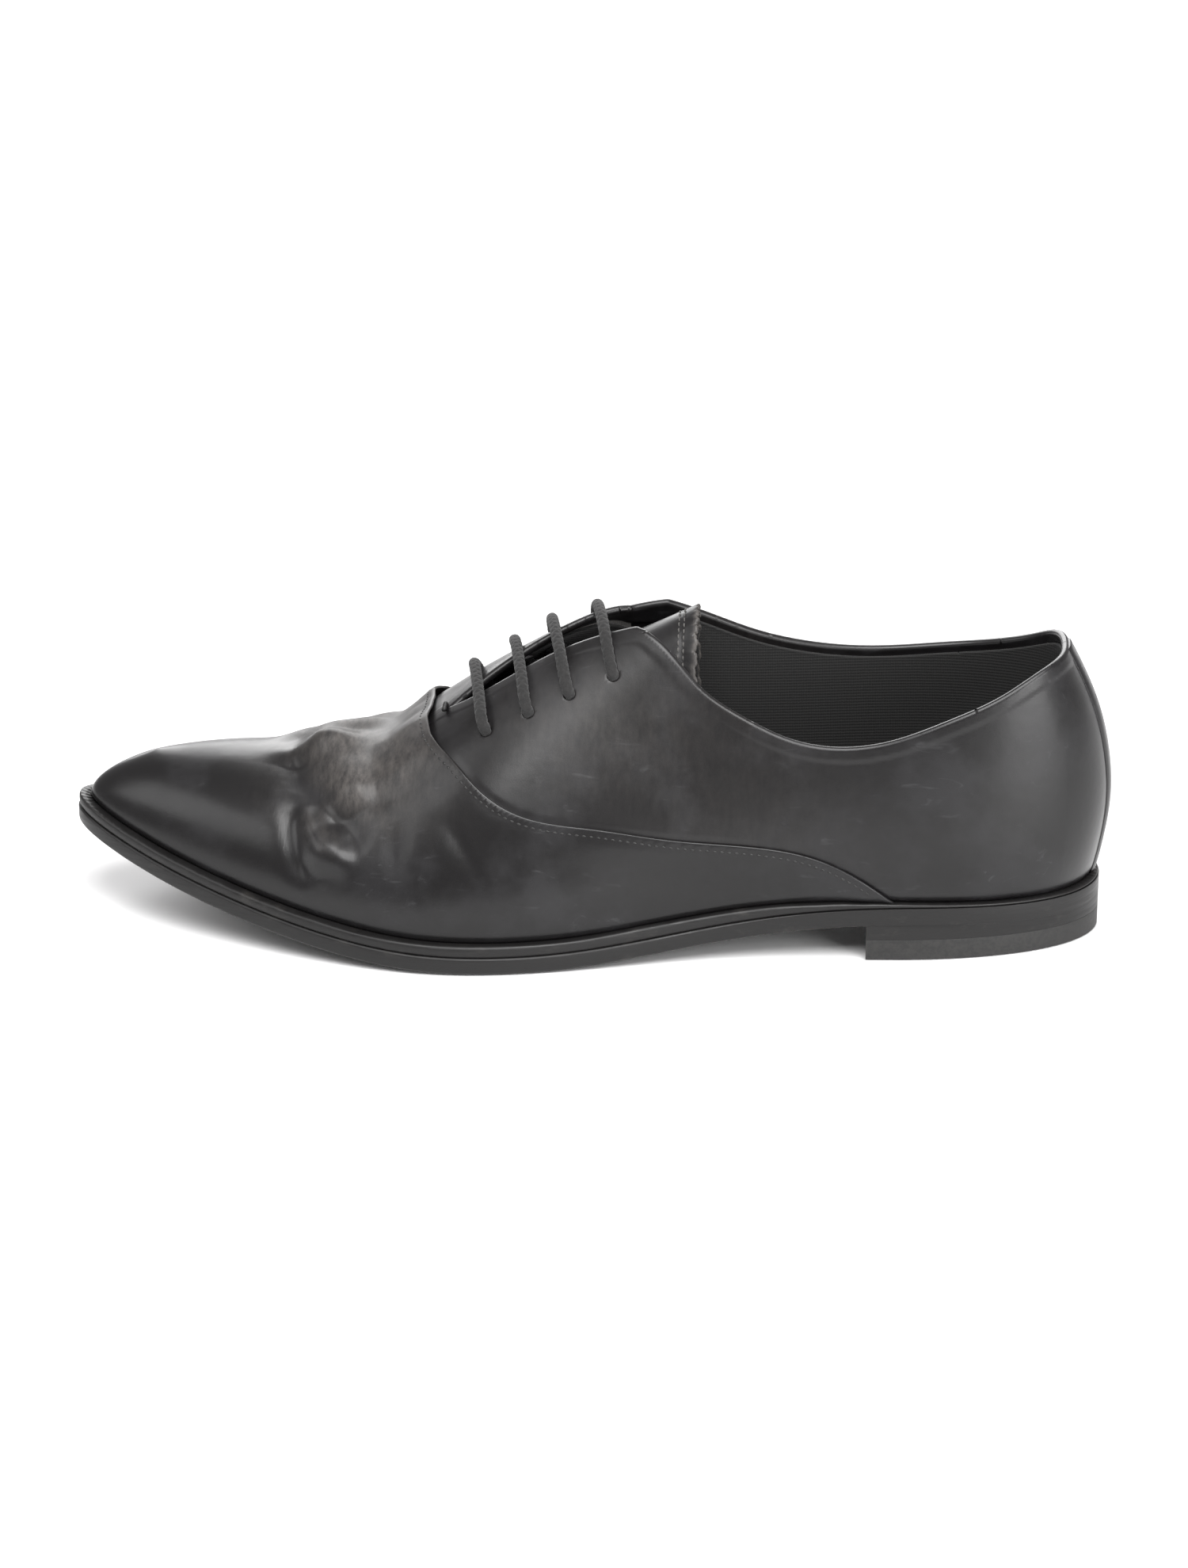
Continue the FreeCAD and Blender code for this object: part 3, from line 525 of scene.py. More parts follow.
def node_tree(name, **values):
    """New material and its shader, with uniform values set on the shader's own sockets."""
    material = bpy.data.materials.new(name)
    material.use_nodes = True
    shader = material.node_tree.nodes["Principled BSDF"]
    for socket, value in values.items():
        shader.inputs[socket.replace("_", " ")].default_value = value
    return material, material.node_tree, shader


def make_node(tree, kind, settings=None, **inputs):
    """Node with settings; each input is a number, a colour or another node's output socket."""
    node = tree.nodes.new(kind)
    for key, value in (settings or {}).items():
        setattr(node, key, value)
    for key, value in inputs.items():
        socket = node.inputs[int(key[1:])] if key[1:].isdigit() else node.inputs[key.replace("_", " ")]
        if isinstance(value, bpy.types.NodeSocket):
            tree.links.new(value, socket)
        else:
            socket.default_value = value
    return node


def times(tree, first, second):
    return make_node(tree, "ShaderNodeMath", {"operation": "MULTIPLY"}, i0=first, i1=second).outputs[0]


def plus(tree, first, second):
    return make_node(tree, "ShaderNodeMath", {"operation": "ADD"}, i0=first, i1=second).outputs[0]


def attribute(tree, name):
    return make_node(tree, "ShaderNodeAttribute", {"attribute_name": name}).outputs["Fac"]


def noise(tree, scale, detail=3.0, roughness=0.55, stretch=(1.0, 1.0, 1.0), distortion=0.0):
    place = make_node(tree, "ShaderNodeTexCoord").outputs["Object"]
    place = make_node(tree, "ShaderNodeMapping", Vector=place, Scale=stretch).outputs["Vector"]
    return make_node(tree, "ShaderNodeTexNoise", Vector=place, Scale=scale, Detail=detail,
                     Roughness=roughness, Distortion=distortion).outputs["Fac"]


def ramp(tree, value, low, high, to_low=0.0, to_high=1.0):
    return make_node(tree, "ShaderNodeMapRange", {"interpolation_type": "SMOOTHSTEP"}, Value=value,
                     From_Min=low, From_Max=high, To_Min=to_low, To_Max=to_high).outputs["Result"]


def blended(tree, share, first, second):
    return make_node(tree, "ShaderNodeMix", {"data_type": "RGBA"}, i0=share, i6=first, i7=second).outputs[2]


def bumped(tree, shader, height, distance, strength=1.0, under=None):
    """Gives the shader a bump, on top of another one's normal if that is given."""
    inputs = {"Height": height, "Distance": distance, "Strength": strength}
    if under is not None:
        inputs["Normal"] = under
    normal = make_node(tree, "ShaderNodeBump", **inputs).outputs["Normal"]
    tree.links.new(normal, shader.inputs["Normal"])
    return normal


def drive(tree, shader, base, rough=None):
    """Links the shader's colour, and its roughness where that varies."""
    tree.links.new(base, shader.inputs["Base Color"])
    if rough is not None:
        tree.links.new(rough, shader.inputs["Roughness"])


def colour(red, green, blue):
    return (red, green, blue, 1.0)


def upper_leather():
    """Polished black calf, with a pale tone that is partly a dusting and partly a painted highlight, dulled
    patches, scuffs and a fine pore.
    """
    material, tree, shader = node_tree("worn_black_calf", Coat_Weight=0.18, Coat_Roughness=0.22,
                                       Specular_IOR_Level=0.36)
    dust_and_highlight = attribute(tree, "dust_and_highlight")
    patches = ramp(tree, noise(tree, 38.0, 4.0, 0.6), 0.42, 0.68)
    mottle = ramp(tree, noise(tree, 420.0, 6.0, 0.7, (1.0, 0.4, 0.4)), 0.15, 0.9)
    streaks = ramp(tree, noise(tree, 520.0, 3.0, 0.6, (0.12, 1.0, 0.5), 1.2), 0.60, 0.74)
    scuffs = times(tree, streaks, patches)
    # Pale brown mixed into the black where the attribute says: partly a dusting, partly a painted highlight on
    # raised folds and on the quarters' middle.
    mottled_dust_and_highlight = times(tree, dust_and_highlight, mottle)
    base = blended(tree, patches, colour(0.0052, 0.0047, 0.0050), colour(0.0105, 0.0100, 0.0110))
    base = blended(tree, times(tree, scuffs, 0.35), base, colour(0.06, 0.06, 0.063))
    base = blended(tree, times(tree, mottled_dust_and_highlight, 0.8), base, colour(0.125, 0.113, 0.104))
    rough = plus(tree, times(tree, patches, 0.12), 0.30)
    rough = plus(tree, rough, times(tree, dust_and_highlight, 0.28))
    drive(tree, shader, base, plus(tree, rough, times(tree, scuffs, 0.18)))
    pores = noise(tree, 2600.0, 2.0, 0.6)
    normal = bumped(tree, shader, pores, 0.00003, 0.55)
    ripples = noise(tree, 520.0, 2.0, 0.5, (1.0, 0.3, 0.3), 0.4)
    crinkle = times(tree, ripples, attribute(tree, "crinkle"))
    normal = bumped(tree, shader, crinkle, 0.0003, 0.3, normal)
    bumped(tree, shader, noise(tree, 60.0, 3.0), 0.0006, 0.35, normal)
    return material


def plain_leather(name, dark, light, rough, grain=0.00006):
    """Unpolished leather, and thread: two tones, a fine grain and some unevenness."""
    material, tree, shader = node_tree(name)
    tone = ramp(tree, noise(tree, 120.0, 5.0, 0.65), 0.3, 0.7)
    drive(tree, shader, blended(tree, tone, colour(*dark), colour(*light)),
          ramp(tree, tone, 0.0, 1.0, rough - 0.06, rough + 0.08))
    bumped(tree, shader, noise(tree, 1500.0, 3.0, 0.6), grain)
    return material


def edge_leather():
    """Waxed sole edge: satin black, drawn lines along it and small rubs."""
    material, tree, shader = node_tree("waxed_edge", Coat_Weight=0.05, Coat_Roughness=0.3,
                                       Specular_IOR_Level=0.35)
    lines = noise(tree, 900.0, 3.0, 0.6, (0.06, 0.06, 1.0))
    rubs = ramp(tree, noise(tree, 160.0, 4.0, 0.7, (0.4, 0.4, 1.0)), 0.56, 0.78)
    base = blended(tree, times(tree, rubs, 0.5), colour(0.010, 0.0095, 0.0095),
                   colour(0.042, 0.039, 0.036))
    drive(tree, shader, base, ramp(tree, lines, 0.3, 0.7, 0.34, 0.52))
    normal = bumped(tree, shader, lines, 0.00012, 0.6)
    bumped(tree, shader, noise(tree, 2200.0, 2.0), 0.00003, 0.5, normal)
    return material


def bands(tree, direction, scale, **inputs):
    place = make_node(tree, "ShaderNodeTexCoord").outputs["Object"]
    return make_node(tree, "ShaderNodeTexWave", {"bands_direction": direction}, Vector=place, Scale=scale,
                     **inputs).outputs["Fac"]


def ribbed_lining():
    """Dark ribbed cloth."""
    material, tree, shader = node_tree("ribbed_lining", Sheen_Weight=0.12, Sheen_Roughness=0.5,
                                       Roughness=0.85)
    ribs = bands(tree, "Z", 330.0, Distortion=0.6, Detail=1.0)
    wefts = bands(tree, "X", 620.0, Distortion=0.8, Detail=1.0)
    lint = ramp(tree, noise(tree, 420.0, 4.0, 0.7), 0.62, 0.8)
    base = blended(tree, ribs, colour(0.006, 0.006, 0.006), colour(0.013, 0.0125, 0.012))
    base = blended(tree, times(tree, lint, 0.25), base, colour(0.06, 0.058, 0.055))
    drive(tree, shader, base)
    normal = bumped(tree, shader, ribs, 0.00012, 0.7)
    bumped(tree, shader, wefts, 0.00005, 0.5, normal)
    return material


def cotton_tape():
    """Plain weave of two crossing sets of threads."""
    material, tree, shader = node_tree("cotton_tape", Roughness=0.85, Sheen_Weight=0.15)
    both = times(tree, bands(tree, "X", 900.0), bands(tree, "Z", 900.0))
    base = blended(tree, both, colour(0.12, 0.115, 0.11), colour(0.26, 0.25, 0.24))
    drive(tree, shader, base)
    bumped(tree, shader, both, 0.0001, 0.7)
    return material


def cotton_cord():
    """Matte braided cotton with a soft fuzz and lighter rubbed fibres."""
    material, tree, shader = node_tree("waxed_cotton", Sheen_Weight=0.12, Sheen_Roughness=0.6)
    fibres = noise(tree, 1900.0, 4.0, 0.7)
    rubbed = ramp(tree, noise(tree, 260.0, 4.0, 0.7), 0.4, 0.75)
    base = blended(tree, rubbed, colour(0.005, 0.0047, 0.0047), colour(0.012, 0.011, 0.0108))
    base = blended(tree, ramp(tree, fibres, 0.62, 0.8, 0.0, 0.3), base, colour(0.05, 0.045, 0.043))
    drive(tree, shader, base, ramp(tree, fibres, 0.3, 0.7, 0.8, 0.95))
    bumped(tree, shader, fibres, 0.00012, 0.7)
    return material


def mottled(name, dark, light, scale, rough, height=0.0001, metal=0.0):
    """Two-tone rough solid, such as cork, board, foam, rubber or plain steel."""
    material, tree, shader = node_tree(name, Metallic=metal)
    speck = noise(tree, scale, 5.0, 0.7)
    tone = ramp(tree, speck, 0.35, 0.65)
    drive(tree, shader, blended(tree, tone, colour(*dark), colour(*light)),
          ramp(tree, speck, 0.3, 0.7, rough - 0.08, rough + 0.08))
    bumped(tree, shader, speck, height, 0.6)
    return material


CALF = upper_leather()
EDGE = edge_leather()
LINING = ribbed_lining()
COTTON = cotton_cord()
THREAD = plain_leather("waxed_thread", (0.008, 0.008, 0.008), (0.02, 0.0195, 0.019), 0.45)
PALE_THREAD = plain_leather("dusty_thread", (0.05, 0.048, 0.045), (0.11, 0.105, 0.1), 0.7)
SOCK = plain_leather("sock_leather", (0.018, 0.016, 0.015), (0.035, 0.031, 0.028), 0.5)
INSOLE = plain_leather("insole_leather", (0.30, 0.19, 0.11), (0.42, 0.28, 0.17), 0.65, 0.0001)
RUBBER = mottled("heel_rubber", (0.010, 0.010, 0.010), (0.022, 0.021, 0.020), 700.0, 0.55, 0.00005)
CORK = mottled("bonded_cork", (0.20, 0.12, 0.06), (0.42, 0.28, 0.16), 900.0, 0.8, 0.0003)
BOARD = mottled("fibre_board", (0.22, 0.15, 0.10), (0.34, 0.25, 0.17), 600.0, 0.8)
FOAM = mottled("dense_foam", (0.07, 0.07, 0.07), (0.13, 0.13, 0.13), 1400.0, 0.9, 0.0002)
STEEL = mottled("plain_steel", (0.35, 0.35, 0.36), (0.55, 0.55, 0.56), 800.0, 0.35, 0.00002, 1.0)
TAPE = cotton_tape()
AGLET = mottled("aglet_film", (0.012, 0.012, 0.012), (0.02, 0.02, 0.02), 900.0, 0.25, 0.00001)


# ---------------------------------------------------------------- folds of the vamp

FINE = 2  # how much finer the grids of a full render are
FOLD_SCALE = 60.0  # millimetres over the vamp for each unit of over

# Each fold is a line of (x, over) places, then its height (negative in a valley) and its width.
FOLDS = (
    ([(-86, 0.15), (-84, -0.15), (-81, -0.33), (-76.8, -0.386), (-70, -0.50), (-64.4, -0.61), (-59, -0.66)],
     -2.3, 3.8),
    ([(-81, -0.375), (-82, -0.536), (-81, -0.68), (-79.5, -0.76), (-75.5, -0.85)], -1.4, 3.0),
    ([(-64, 0.0), (-62.4, -0.17), (-59.8, -0.32), (-56.8, -0.42), (-54.5, -0.5)], -0.9, 2.2),
    ([(-53, -0.55), (-51.3, -0.65), (-51, -0.72), (-49.5, -0.81)], -1.0, 3.0),
    ([(-48.8, -0.70), (-44, -0.83), (-41, -0.93)], -0.35, 0.9),
    ([(-37.6, -0.6), (-30.6, -0.74), (-23.5, -0.86)], -0.3, 1.0),
    ([(-80, 0.25), (-80, 0.0), (-80, -0.2)], 2.6, 7.0),
    ([(-72, 0.0), (-70, -0.19), (-66, -0.35), (-63, -0.5)], 2.5, 6.5),
    ([(-78.8, -0.44), (-76.2, -0.59), (-72.4, -0.8)], 1.0, 3.0),
    ([(-73.9, -0.56), (-67.5, -0.68), (-62.5, -0.76)], 1.5, 3.6),
    ([(-50, -0.05), (-49, -0.28), (-47, -0.45)], 1.6, 6.0),
)
FOLD_FADE = 9.0  # length over which a fold's ends die out
FOLD_SPREAD = 1.3
CRINKLE_SPREAD = 2.2
BULGE_SHARE, VALLEY_SHARE, MEDIAL_SHARE = 1.45, 0.9, 0.7


def fold_lines():
    """Every fold and its weaker mirror image on the medial side, as (line, height, width, length)."""
    lines = []
    for fold, height, width in FOLDS:
        size = height * (BULGE_SHARE if height > 0.0 else VALLEY_SHARE)
        for mirror, shift, share in ((1.0, 0.0, 1.0), (-0.9, 6.0, MEDIAL_SHARE)):
            line = curve_through([(x + shift, over * mirror * FOLD_SCALE) for x, over in fold], 24)
            lines.append((line, size * share, width * FOLD_SPREAD, run_lengths(line)[-1]))
    return lines


FOLD_LINES = fold_lines()


def fold_height(params, points):
    """How far the folds push the leather out at each point, and how finely it crinkles there."""
    places = np.stack([points[:, 0], params[:, 1] * FOLD_SCALE], -1)
    height = np.zeros(len(points))
    crinkle = np.zeros(len(points))
    for line, size, width, length in FOLD_LINES:
        distance, place = to_line(places, line)
        fade = smooth_step(place / FOLD_FADE + 0.15) * smooth_step((length - place) / FOLD_FADE + 0.15)
        height += size * fade * bell(distance, 0.0, width)
        if size < 0.0:
            crinkle += fade * bell(distance, 0.0, width * CRINKLE_SPREAD) * min(1.0, -size)
    return height, np.clip(crinkle, 0.0, 1.0)


# ---------------------------------------------------------------- upper

def carry(piece, material_slot, body, *nodes):
    """Hides the solids that a piece stands for and lets it ride on one body."""
    if nodes:
        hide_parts(*nodes)
    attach(piece, body)


def carry_bending(piece, node):
    """For a piece that bends at the ball, which has three solids on the two bodies: hides those solids and bakes
    the piece's place into its mesh, leaving it on no body.
    """
    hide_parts(f"{node}_back", f"{node}_flex", f"{node}_toe")
    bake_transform(piece)


def close_toe(faces, rows, width):
    """Joins the two halves of the last row, which meet on the toe's centre line."""
    first = (rows - 1) * width
    merged = {first + j: first + width - 1 - j for j in range(width // 2 + 1, width)}
    return [tuple(merged.get(i, i) for i in face) for face in faces]


def wrapped_grid(along, over, field):
    """Params and faces of a patch of the last where a field of its params is positive."""
    params, faces = grid(along, over)
    if along[-1] == 1.0:
        faces = close_toe(faces, len(along), len(over))
    return clipped(params, faces, field)


def ends_close(first, last, count):
    """Values from first to last that crowd towards the last."""
    share = np.linspace(0.0, 1.0, count)
    return first + (last - first) * np.sin(share * np.pi / 2.0)


def seam_gap(params, depth=0.0):
    """Distance in front of the seam."""
    return front_of_seam(wrapped(params, depth)[:, [0, 2]])


def feather_pinch(points, params):
    """The leather draws in where it goes down into the welt."""
    height = points[:, 2] - seat_height(points[:, 0])
    return 0.5 * np.exp(-np.clip(height, 0.0, None)) * (np.abs(params[:, 1]) > 0.6)


SEAM_LIFT = 1.0
SEAM_EDGE = 0.7
SKIVED = 0.95  # thickness of the leather pared down at the seam
STITCH_GAP = 1.7
VAMP_START = 0.26
TUCKED = 1.06
LINING_REACH = 0.98


def vamp_offset(params, points):
    """How far the vamp's face stands off the last, where it laps over the quarters, folds and meets the welt."""
    gap = seam_gap(params)
    lift = SEAM_LIFT * (1.0 - smooth_step(gap / 14.0))
    groove = 0.16 * bell(gap, SEAM_EDGE + STITCH_GAP, 0.5)
    return lift + fold_height(params, points)[0] - groove - feather_pinch(points, params)


def vamp():
    """Leather from the toe back to the seam, pale where it creases: partly a dusting, partly a painted highlight
    on the folds' ridges.
    """
    params, faces = wrapped_grid(
        ends_close(VAMP_START, 1.0, 170 * FINE), np.linspace(-TUCKED, TUCKED, 110 * FINE + 1),
        lambda params: seam_gap(params) - SEAM_EDGE)
    base = wrapped(params)
    normals = vertex_normals(base, faces)
    out = vamp_offset(params, base)
    thick = SKIVED + (LEATHER - SKIVED) * smooth_step(seam_gap(params) / 10.0)
    # Pale tone over the creased toe, partly a dusting and partly a painted highlight: the raised folds get more
    # of it.
    dust_and_highlight_zone = bell(base[:, 0], -62.0, 22.0) * smooth_step((params[:, 1] + 0.75) / 0.3)
    dust_and_highlight = dust_and_highlight_zone * np.clip(0.45 + out / 4.0, 0.15, 1.0)
    piece = thick_sheet("vamp", faces, base + normals * out[:, None], base + normals * (out - thick)[:, None],
                        CALF, {"dust_and_highlight": dust_and_highlight, "crinkle": fold_height(params, base)[1]})
    carry_bending(piece, "vamp")


def vamp_lining():
    params, faces = wrapped_grid(
        ends_close(VAMP_START, 1.0, 80 * FINE), np.linspace(-LINING_REACH, LINING_REACH, 50 * FINE + 1),
        lambda params: seam_gap(params, LINING_OUT) - 0.3)
    normals = vertex_normals(wrapped(params), faces)
    folds = normals * np.minimum(fold_height(params, wrapped(params))[0] * 0.6, 0.4)[:, None]
    piece = thick_sheet("vamp_lining", faces, wrapped(params, LINING_OUT + 2.0 * LINING_GAP) + folds,
                        wrapped(params, LINING_IN) + folds, LINING)
    carry_bending(piece, "vamp_lining")


vamp()
vamp_lining()


def bored(side, radius):
    """Field of space points: distance outside the eyelet holes of one side."""
    axes = [plan_frame(x, y) for x, y in EYELETS[side]]

    def field(points):
        best = np.full(len(points), FAR)
        for centre, normal in axes:
            away = points - centre
            best = np.minimum(best, np.linalg.norm(away - (away @ normal)[:, None] * normal, axis=1))
        return best - radius

    return field


OVERREACH_END = 12.0  # where a facing that comes over the ridge ends


def quarter_field(side, underlap, drop, hole, depth):
    """Positive on a quarter: behind the seam, below the topline, outside the facing and the eyelet holes."""
    holes = bored(side, hole)

    def field(params):
        points = wrapped(params, depth)
        limits = [underlap - front_of_seam(points[:, [0, 2]]),
                  below_topline[side](points[:, [0, 2]]) - drop,
                  beside_facing[side](points[:, :2]) - drop,
                  holes(points),
                  np.where(params[:, 1] * side < 0.0, OVERREACH_END - points[:, 0], FAR)]
        return np.min(limits, axis=0)

    return field


FOLD_BAND = 2.6  # width of the edge turned in at the topline and the facings
UNDERLAP = 7.0
LEATHER_HOLE, LINING_HOLE = 2.0, 2.75
# The quarters' columns of over; behind the throat the medial facing comes over the ridge.
QUARTER_OVER = {
    -1: np.linspace(-TUCKED, 0.0, 120 * FINE + 1),
    1: np.linspace(-0.42, TUCKED, 160 * FINE + 1),
}


def quarter(side, name):
    """Side leather from under the vamp's edge to the heel, with its edges turned in."""
    heel_rows = np.linspace(0.0, 0.08, 26 * FINE)[:-1]
    along = np.concatenate([heel_rows, np.linspace(0.08, 0.80, 200 * FINE)])
    params, faces = wrapped_grid(along, QUARTER_OVER[side],
                                 quarter_field(side, UNDERLAP, 0.0, LEATHER_HOLE, 0.0))
    base = wrapped(params)
    normals = vertex_normals(base, faces)
    under = smooth_step((1.5 + front_of_seam(base[:, [0, 2]])) / 1.5)
    edge = np.minimum(below_topline[side](base[:, [0, 2]]), beside_facing[side](base[:, :2]))
    folded = 1.0 - smooth_step((edge - FOLD_BAND) / 0.8)
    outer = -0.15 * under + 0.15 * folded - feather_pinch(base, params)
    thickness = LEATHER + (LINING_OUT - LEATHER) * folded * (under < 0.5)
    x, z = base[:, 0], base[:, 2]
    # Pale tone: faint towards the back, and over the quarter's middle a painted highlight mixed with a cloudy
    # dusting.
    dust_and_highlight = 0.08 * bell(x, 45.0, 30.0) + 0.22 * bell(x, 2.0, 26.0) * bell(z, 66.0, 16.0)
    wrinkle = 0.35 * bell(x, 70.0, 16.0) * bell(z, 52.0, 9.0)
    piece = thick_sheet(f"{name}_quarter_leather", faces, base + normals * outer[:, None],
                        base + normals * (outer - thickness)[:, None], CALF,
                        {"dust_and_highlight": dust_and_highlight, "crinkle": wrinkle})
    carry(piece, "upper_leather", "shoe", f"{name}_quarter")


def quarter_lining(side, name):
    field = quarter_field(side, 0.0, LINING_DROP, LINING_HOLE, LINING_OUT)
    params, faces = wrapped_grid(
        np.linspace(0.0, 0.72, 90 * FINE), QUARTER_OVER[side][::2],
        lambda params: np.minimum(field(params), LINING_JOIN_X - wrapped(params, LINING_OUT)[:, 0]))
    piece = thick_sheet(f"{name}_lining_cloth", faces, wrapped(params, LINING_OUT + LINING_GAP),
                        wrapped(params, LINING_IN), LINING)
    carry(piece, "lining", "shoe", f"{name}_quarter_lining")


for side, name in SIDE_NAMES.items():
    quarter(side, name)
    quarter_lining(side, name)


def grip_field(params):
    points = wrapped(params, LINING_OUT)
    gaps = [below_topline[side](points[:, [0, 2]]) - LINING_DROP for side in (-1, 1)]
    return np.minimum(points[:, 0] - LINING_JOIN_X, np.where(params[:, 1] < 0.0, gaps[0], gaps[1]))


def heel_grip():
    """Lining round the heel in two halves that meet on the back line."""
    half_over = np.linspace(0.0, LINING_REACH, 40 * FINE + 1)
    along = np.linspace(0.0, 0.3, 60 * FINE)
    near, near_faces = wrapped_grid(along, -half_over[::-1], grip_field)
    far, far_faces = wrapped_grid(along, half_over, grip_field)
    params = np.vstack([near, far])
    faces = near_faces + [tuple(i + len(near) for i in face) for face in far_faces]
    piece = thick_sheet("heel_grip_cloth", faces, wrapped(params, LINING_OUT + LINING_GAP),
                        wrapped(params, LINING_IN), LINING)
    carry(piece, "lining", "shoe", "heel_grip_lining")


heel_grip()

STRIP_HALF = 5.0
STRIP_PROUD = 0.9
STRIP_SUNK = 0.3


def strip_row(over, shares):
    """Points straight across the back seam at one height."""
    turn = 90.0 * (1.0 - over)
    halves = {}
    for side in (-1, 1):
        along = bisect(lambda value: -side * last_surface(value, turn, side, 0.0)[..., 1], 0.0, 0.16,
                       -shares * STRIP_HALF)
        halves[side] = last_surface(along, turn, side, 0.0)
    return np.vstack([halves[-1][::-1], halves[1][1:]])


def backstay():
    """Crowned strip of leather over the back seam, up to the topline."""
    rows = np.linspace(1.0, 0.18, 70 * FINE)
    shares = np.linspace(0.0, 1.0, 8 * FINE + 1)
    base = np.vstack([strip_row(over, shares) for over in rows])
    _, faces = grid(range(len(rows)), range(2 * len(shares) - 1))
    normals = vertex_normals(base, faces)
    if normals[:, 0].mean() < 0.0:
        faces = [face[::-1] for face in faces]
        normals = -normals
    below = np.minimum(below_topline[-1](base[:, [0, 2]]), below_topline[1](base[:, [0, 2]]))
    faces = [face for face in faces if all(below[i] > -0.4 for i in face)]
    kept, faces = renumbered(faces)
    base, normals = base[kept], normals[kept]
    crown = STRIP_PROUD * (0.3 + 0.7 * (1.0 - (base[:, 1] / STRIP_HALF) ** 4))
    plain = np.zeros(len(base))
    piece = thick_sheet("backstay_strip", faces, base + normals * crown[:, None], base - normals * STRIP_SUNK,
                        CALF, {"dust_and_highlight": plain, "crinkle": plain})
    carry(piece, "upper_leather", "shoe", "backstay")


backstay()


# ---------------------------------------------------------------- sole, heel and insides

SLAB_COLUMNS = 12  # from the lateral to the medial edge


def outline_rows(inset, breast):
    """Grid of plan points over the sole, or over the heel if it ends at the breast, from heel to toe."""
    if breast:
        last = bisect(lambda value: outline(value, -1, 0.0)[0], 0.0, 0.6, breast_x(32.0))
        along = 0.5 * last * (1.0 - np.cos(np.linspace(0.06, np.pi, 40 * FINE)))
    else:
        along = 0.5 * (1.0 - np.cos(np.linspace(0.05, np.pi - 0.05, 130 * FINE)))
    reach = inset(HALF * np.cos(np.pi * along))
    near_x, near_y = outline(along, -1, reach)
    far_x, far_y = outline(along, 1, reach)
    share = np.linspace(0.0, 1.0, SLAB_COLUMNS + 1)
    near_y, far_y = np.maximum(near_y, 0.2), np.maximum(far_y, 0.2)
    x = near_x[:, None] * (1.0 - share) + far_x[:, None] * share
    y = -near_y[:, None] * (1.0 - share) + far_y[:, None] * share
    if breast:
        pull = (np.linspace(0.0, 1.0, len(along)) ** 3)[:, None]
        x = x + pull * (breast_x(y) + reach[:, None] - x)
    return x, y


def breast_x(y):
    """Plan curve of the hollow front of the heel."""
    return BREAST_CENTRE_X + np.sqrt(BREAST_RADIUS ** 2 - np.asarray(y, float) ** 2)


def slab(name, levels, material, breast=False):
    """Solid between levels of (inset as a function of x, height of plan points), from bottom to top."""
    points = []
    for inset, height in levels:
        x, y = outline_rows(inset, breast)
        points.append(np.stack([x, y, height(x, y)], -1))
    rows, columns = points[0].shape[:2]
    size = rows * columns
    points = np.vstack([level.reshape(size, 3) for level in points])
    _, quads = grid(range(rows), range(columns))
    top = (len(levels) - 1) * size
    rim = ([k * columns for k in range(rows)] + [(rows - 1) * columns + j for j in range(1, columns)]
           + [k * columns + columns - 1 for k in range(rows - 2, -1, -1)] + list(range(columns - 2, 0, -1)))
    faces = [tuple(reversed(face)) for face in quads]
    faces += [tuple(i + top for i in face) for face in quads]
    for level in range(len(levels) - 1):
        low, high = level * size, (level + 1) * size
        for a, b in zip(rim, rim[1:] + rim[:1]):
            faces.append((low + b, low + a, high + a, high + b))
    return make_piece(name, *oriented(points, faces), material)


def oriented(points, faces):
    """The same faces, turned so that they face outwards."""
    volume = sum(np.dot(points[face[0]], np.cross(points[face[1]], points[face[2]])) for face in faces)
    return points, faces if volume > 0.0 else [tuple(reversed(face)) for face in faces]


def sole_level(height):
    return lambda x, y: sole_height(x) + height


def seat_level(offset):
    return lambda x, y: seat_height(x) + offset


def flat_level(height):
    return lambda x, y: np.full(np.shape(x), height)


def rounded_levels(low, high, radius):
    """Levels of an edge with both corners rounded; radius is a function of x."""
    steps = 4
    levels = []
    for k in list(range(steps + 1)) + list(range(steps, -1, -1)):
        angle = k / steps * math.pi / 2.0
        reach, rise = 1.0 - math.sin(angle), 1.0 - math.cos(angle)
        lower = len(levels) <= steps
        levels.append((lambda x, reach=reach: radius(x) * reach,
                       lambda x, y, rise=rise, lower=lower: low(x, y) + radius(x) * rise if lower
                       else high(x, y) - radius(x) * rise))
    return levels


def even_radius(value):
    return lambda x: np.full(np.shape(x), value)


def forefoot_radius(x):
    """The outsole's corner is worn round in front and stays crisp at the heel."""
    return 0.9 - 0.86 * smooth_step((x - 30.0) / 50.0)


outsole = slab("outsole_leather",
               rounded_levels(sole_level(0.0), sole_level(OUTSOLE - 0.03), forefoot_radius), EDGE)
carry_bending(outsole, "outsole")

WELT_WIDTH = 15.0
WELT_GAP = 0.02  # between the outsole and the welt
RIB_PITCH = 2.4
RIB_HEIGHT = 0.16
# Cross section of the welt as (inset, share of the height): a rounded bead, a flat shelf and the hidden part.
WELT_SECTION = (
    (WELT_WIDTH, 0.0), (0.9, 0.0), (0.55, 0.05), (0.35, 0.25), (0.30, 0.5), (0.35, 0.75), (0.6, 0.95),
    (1.0, 1.0), (2.0, 1.0), (5.0, 1.0), (WELT_WIDTH, 1.0),
)
RIBBED_INSETS = (1.0, 2.0)


def welt_point(along, side, inset, share, rib):
    if inset > 5.0:
        inset = min(inset, 0.8 * max(0.0, 20.0 * math.sin(math.pi * along) + 2.0))
    x, y = outline(along, side, inset)
    edge = CURVES["edge_height"](x)
    height = OUTSOLE + WELT_GAP + share * (edge - OUTSOLE - WELT_GAP) + rib
    return float(x), side * max(float(y), 0.0), float(sole_height(x) + height)


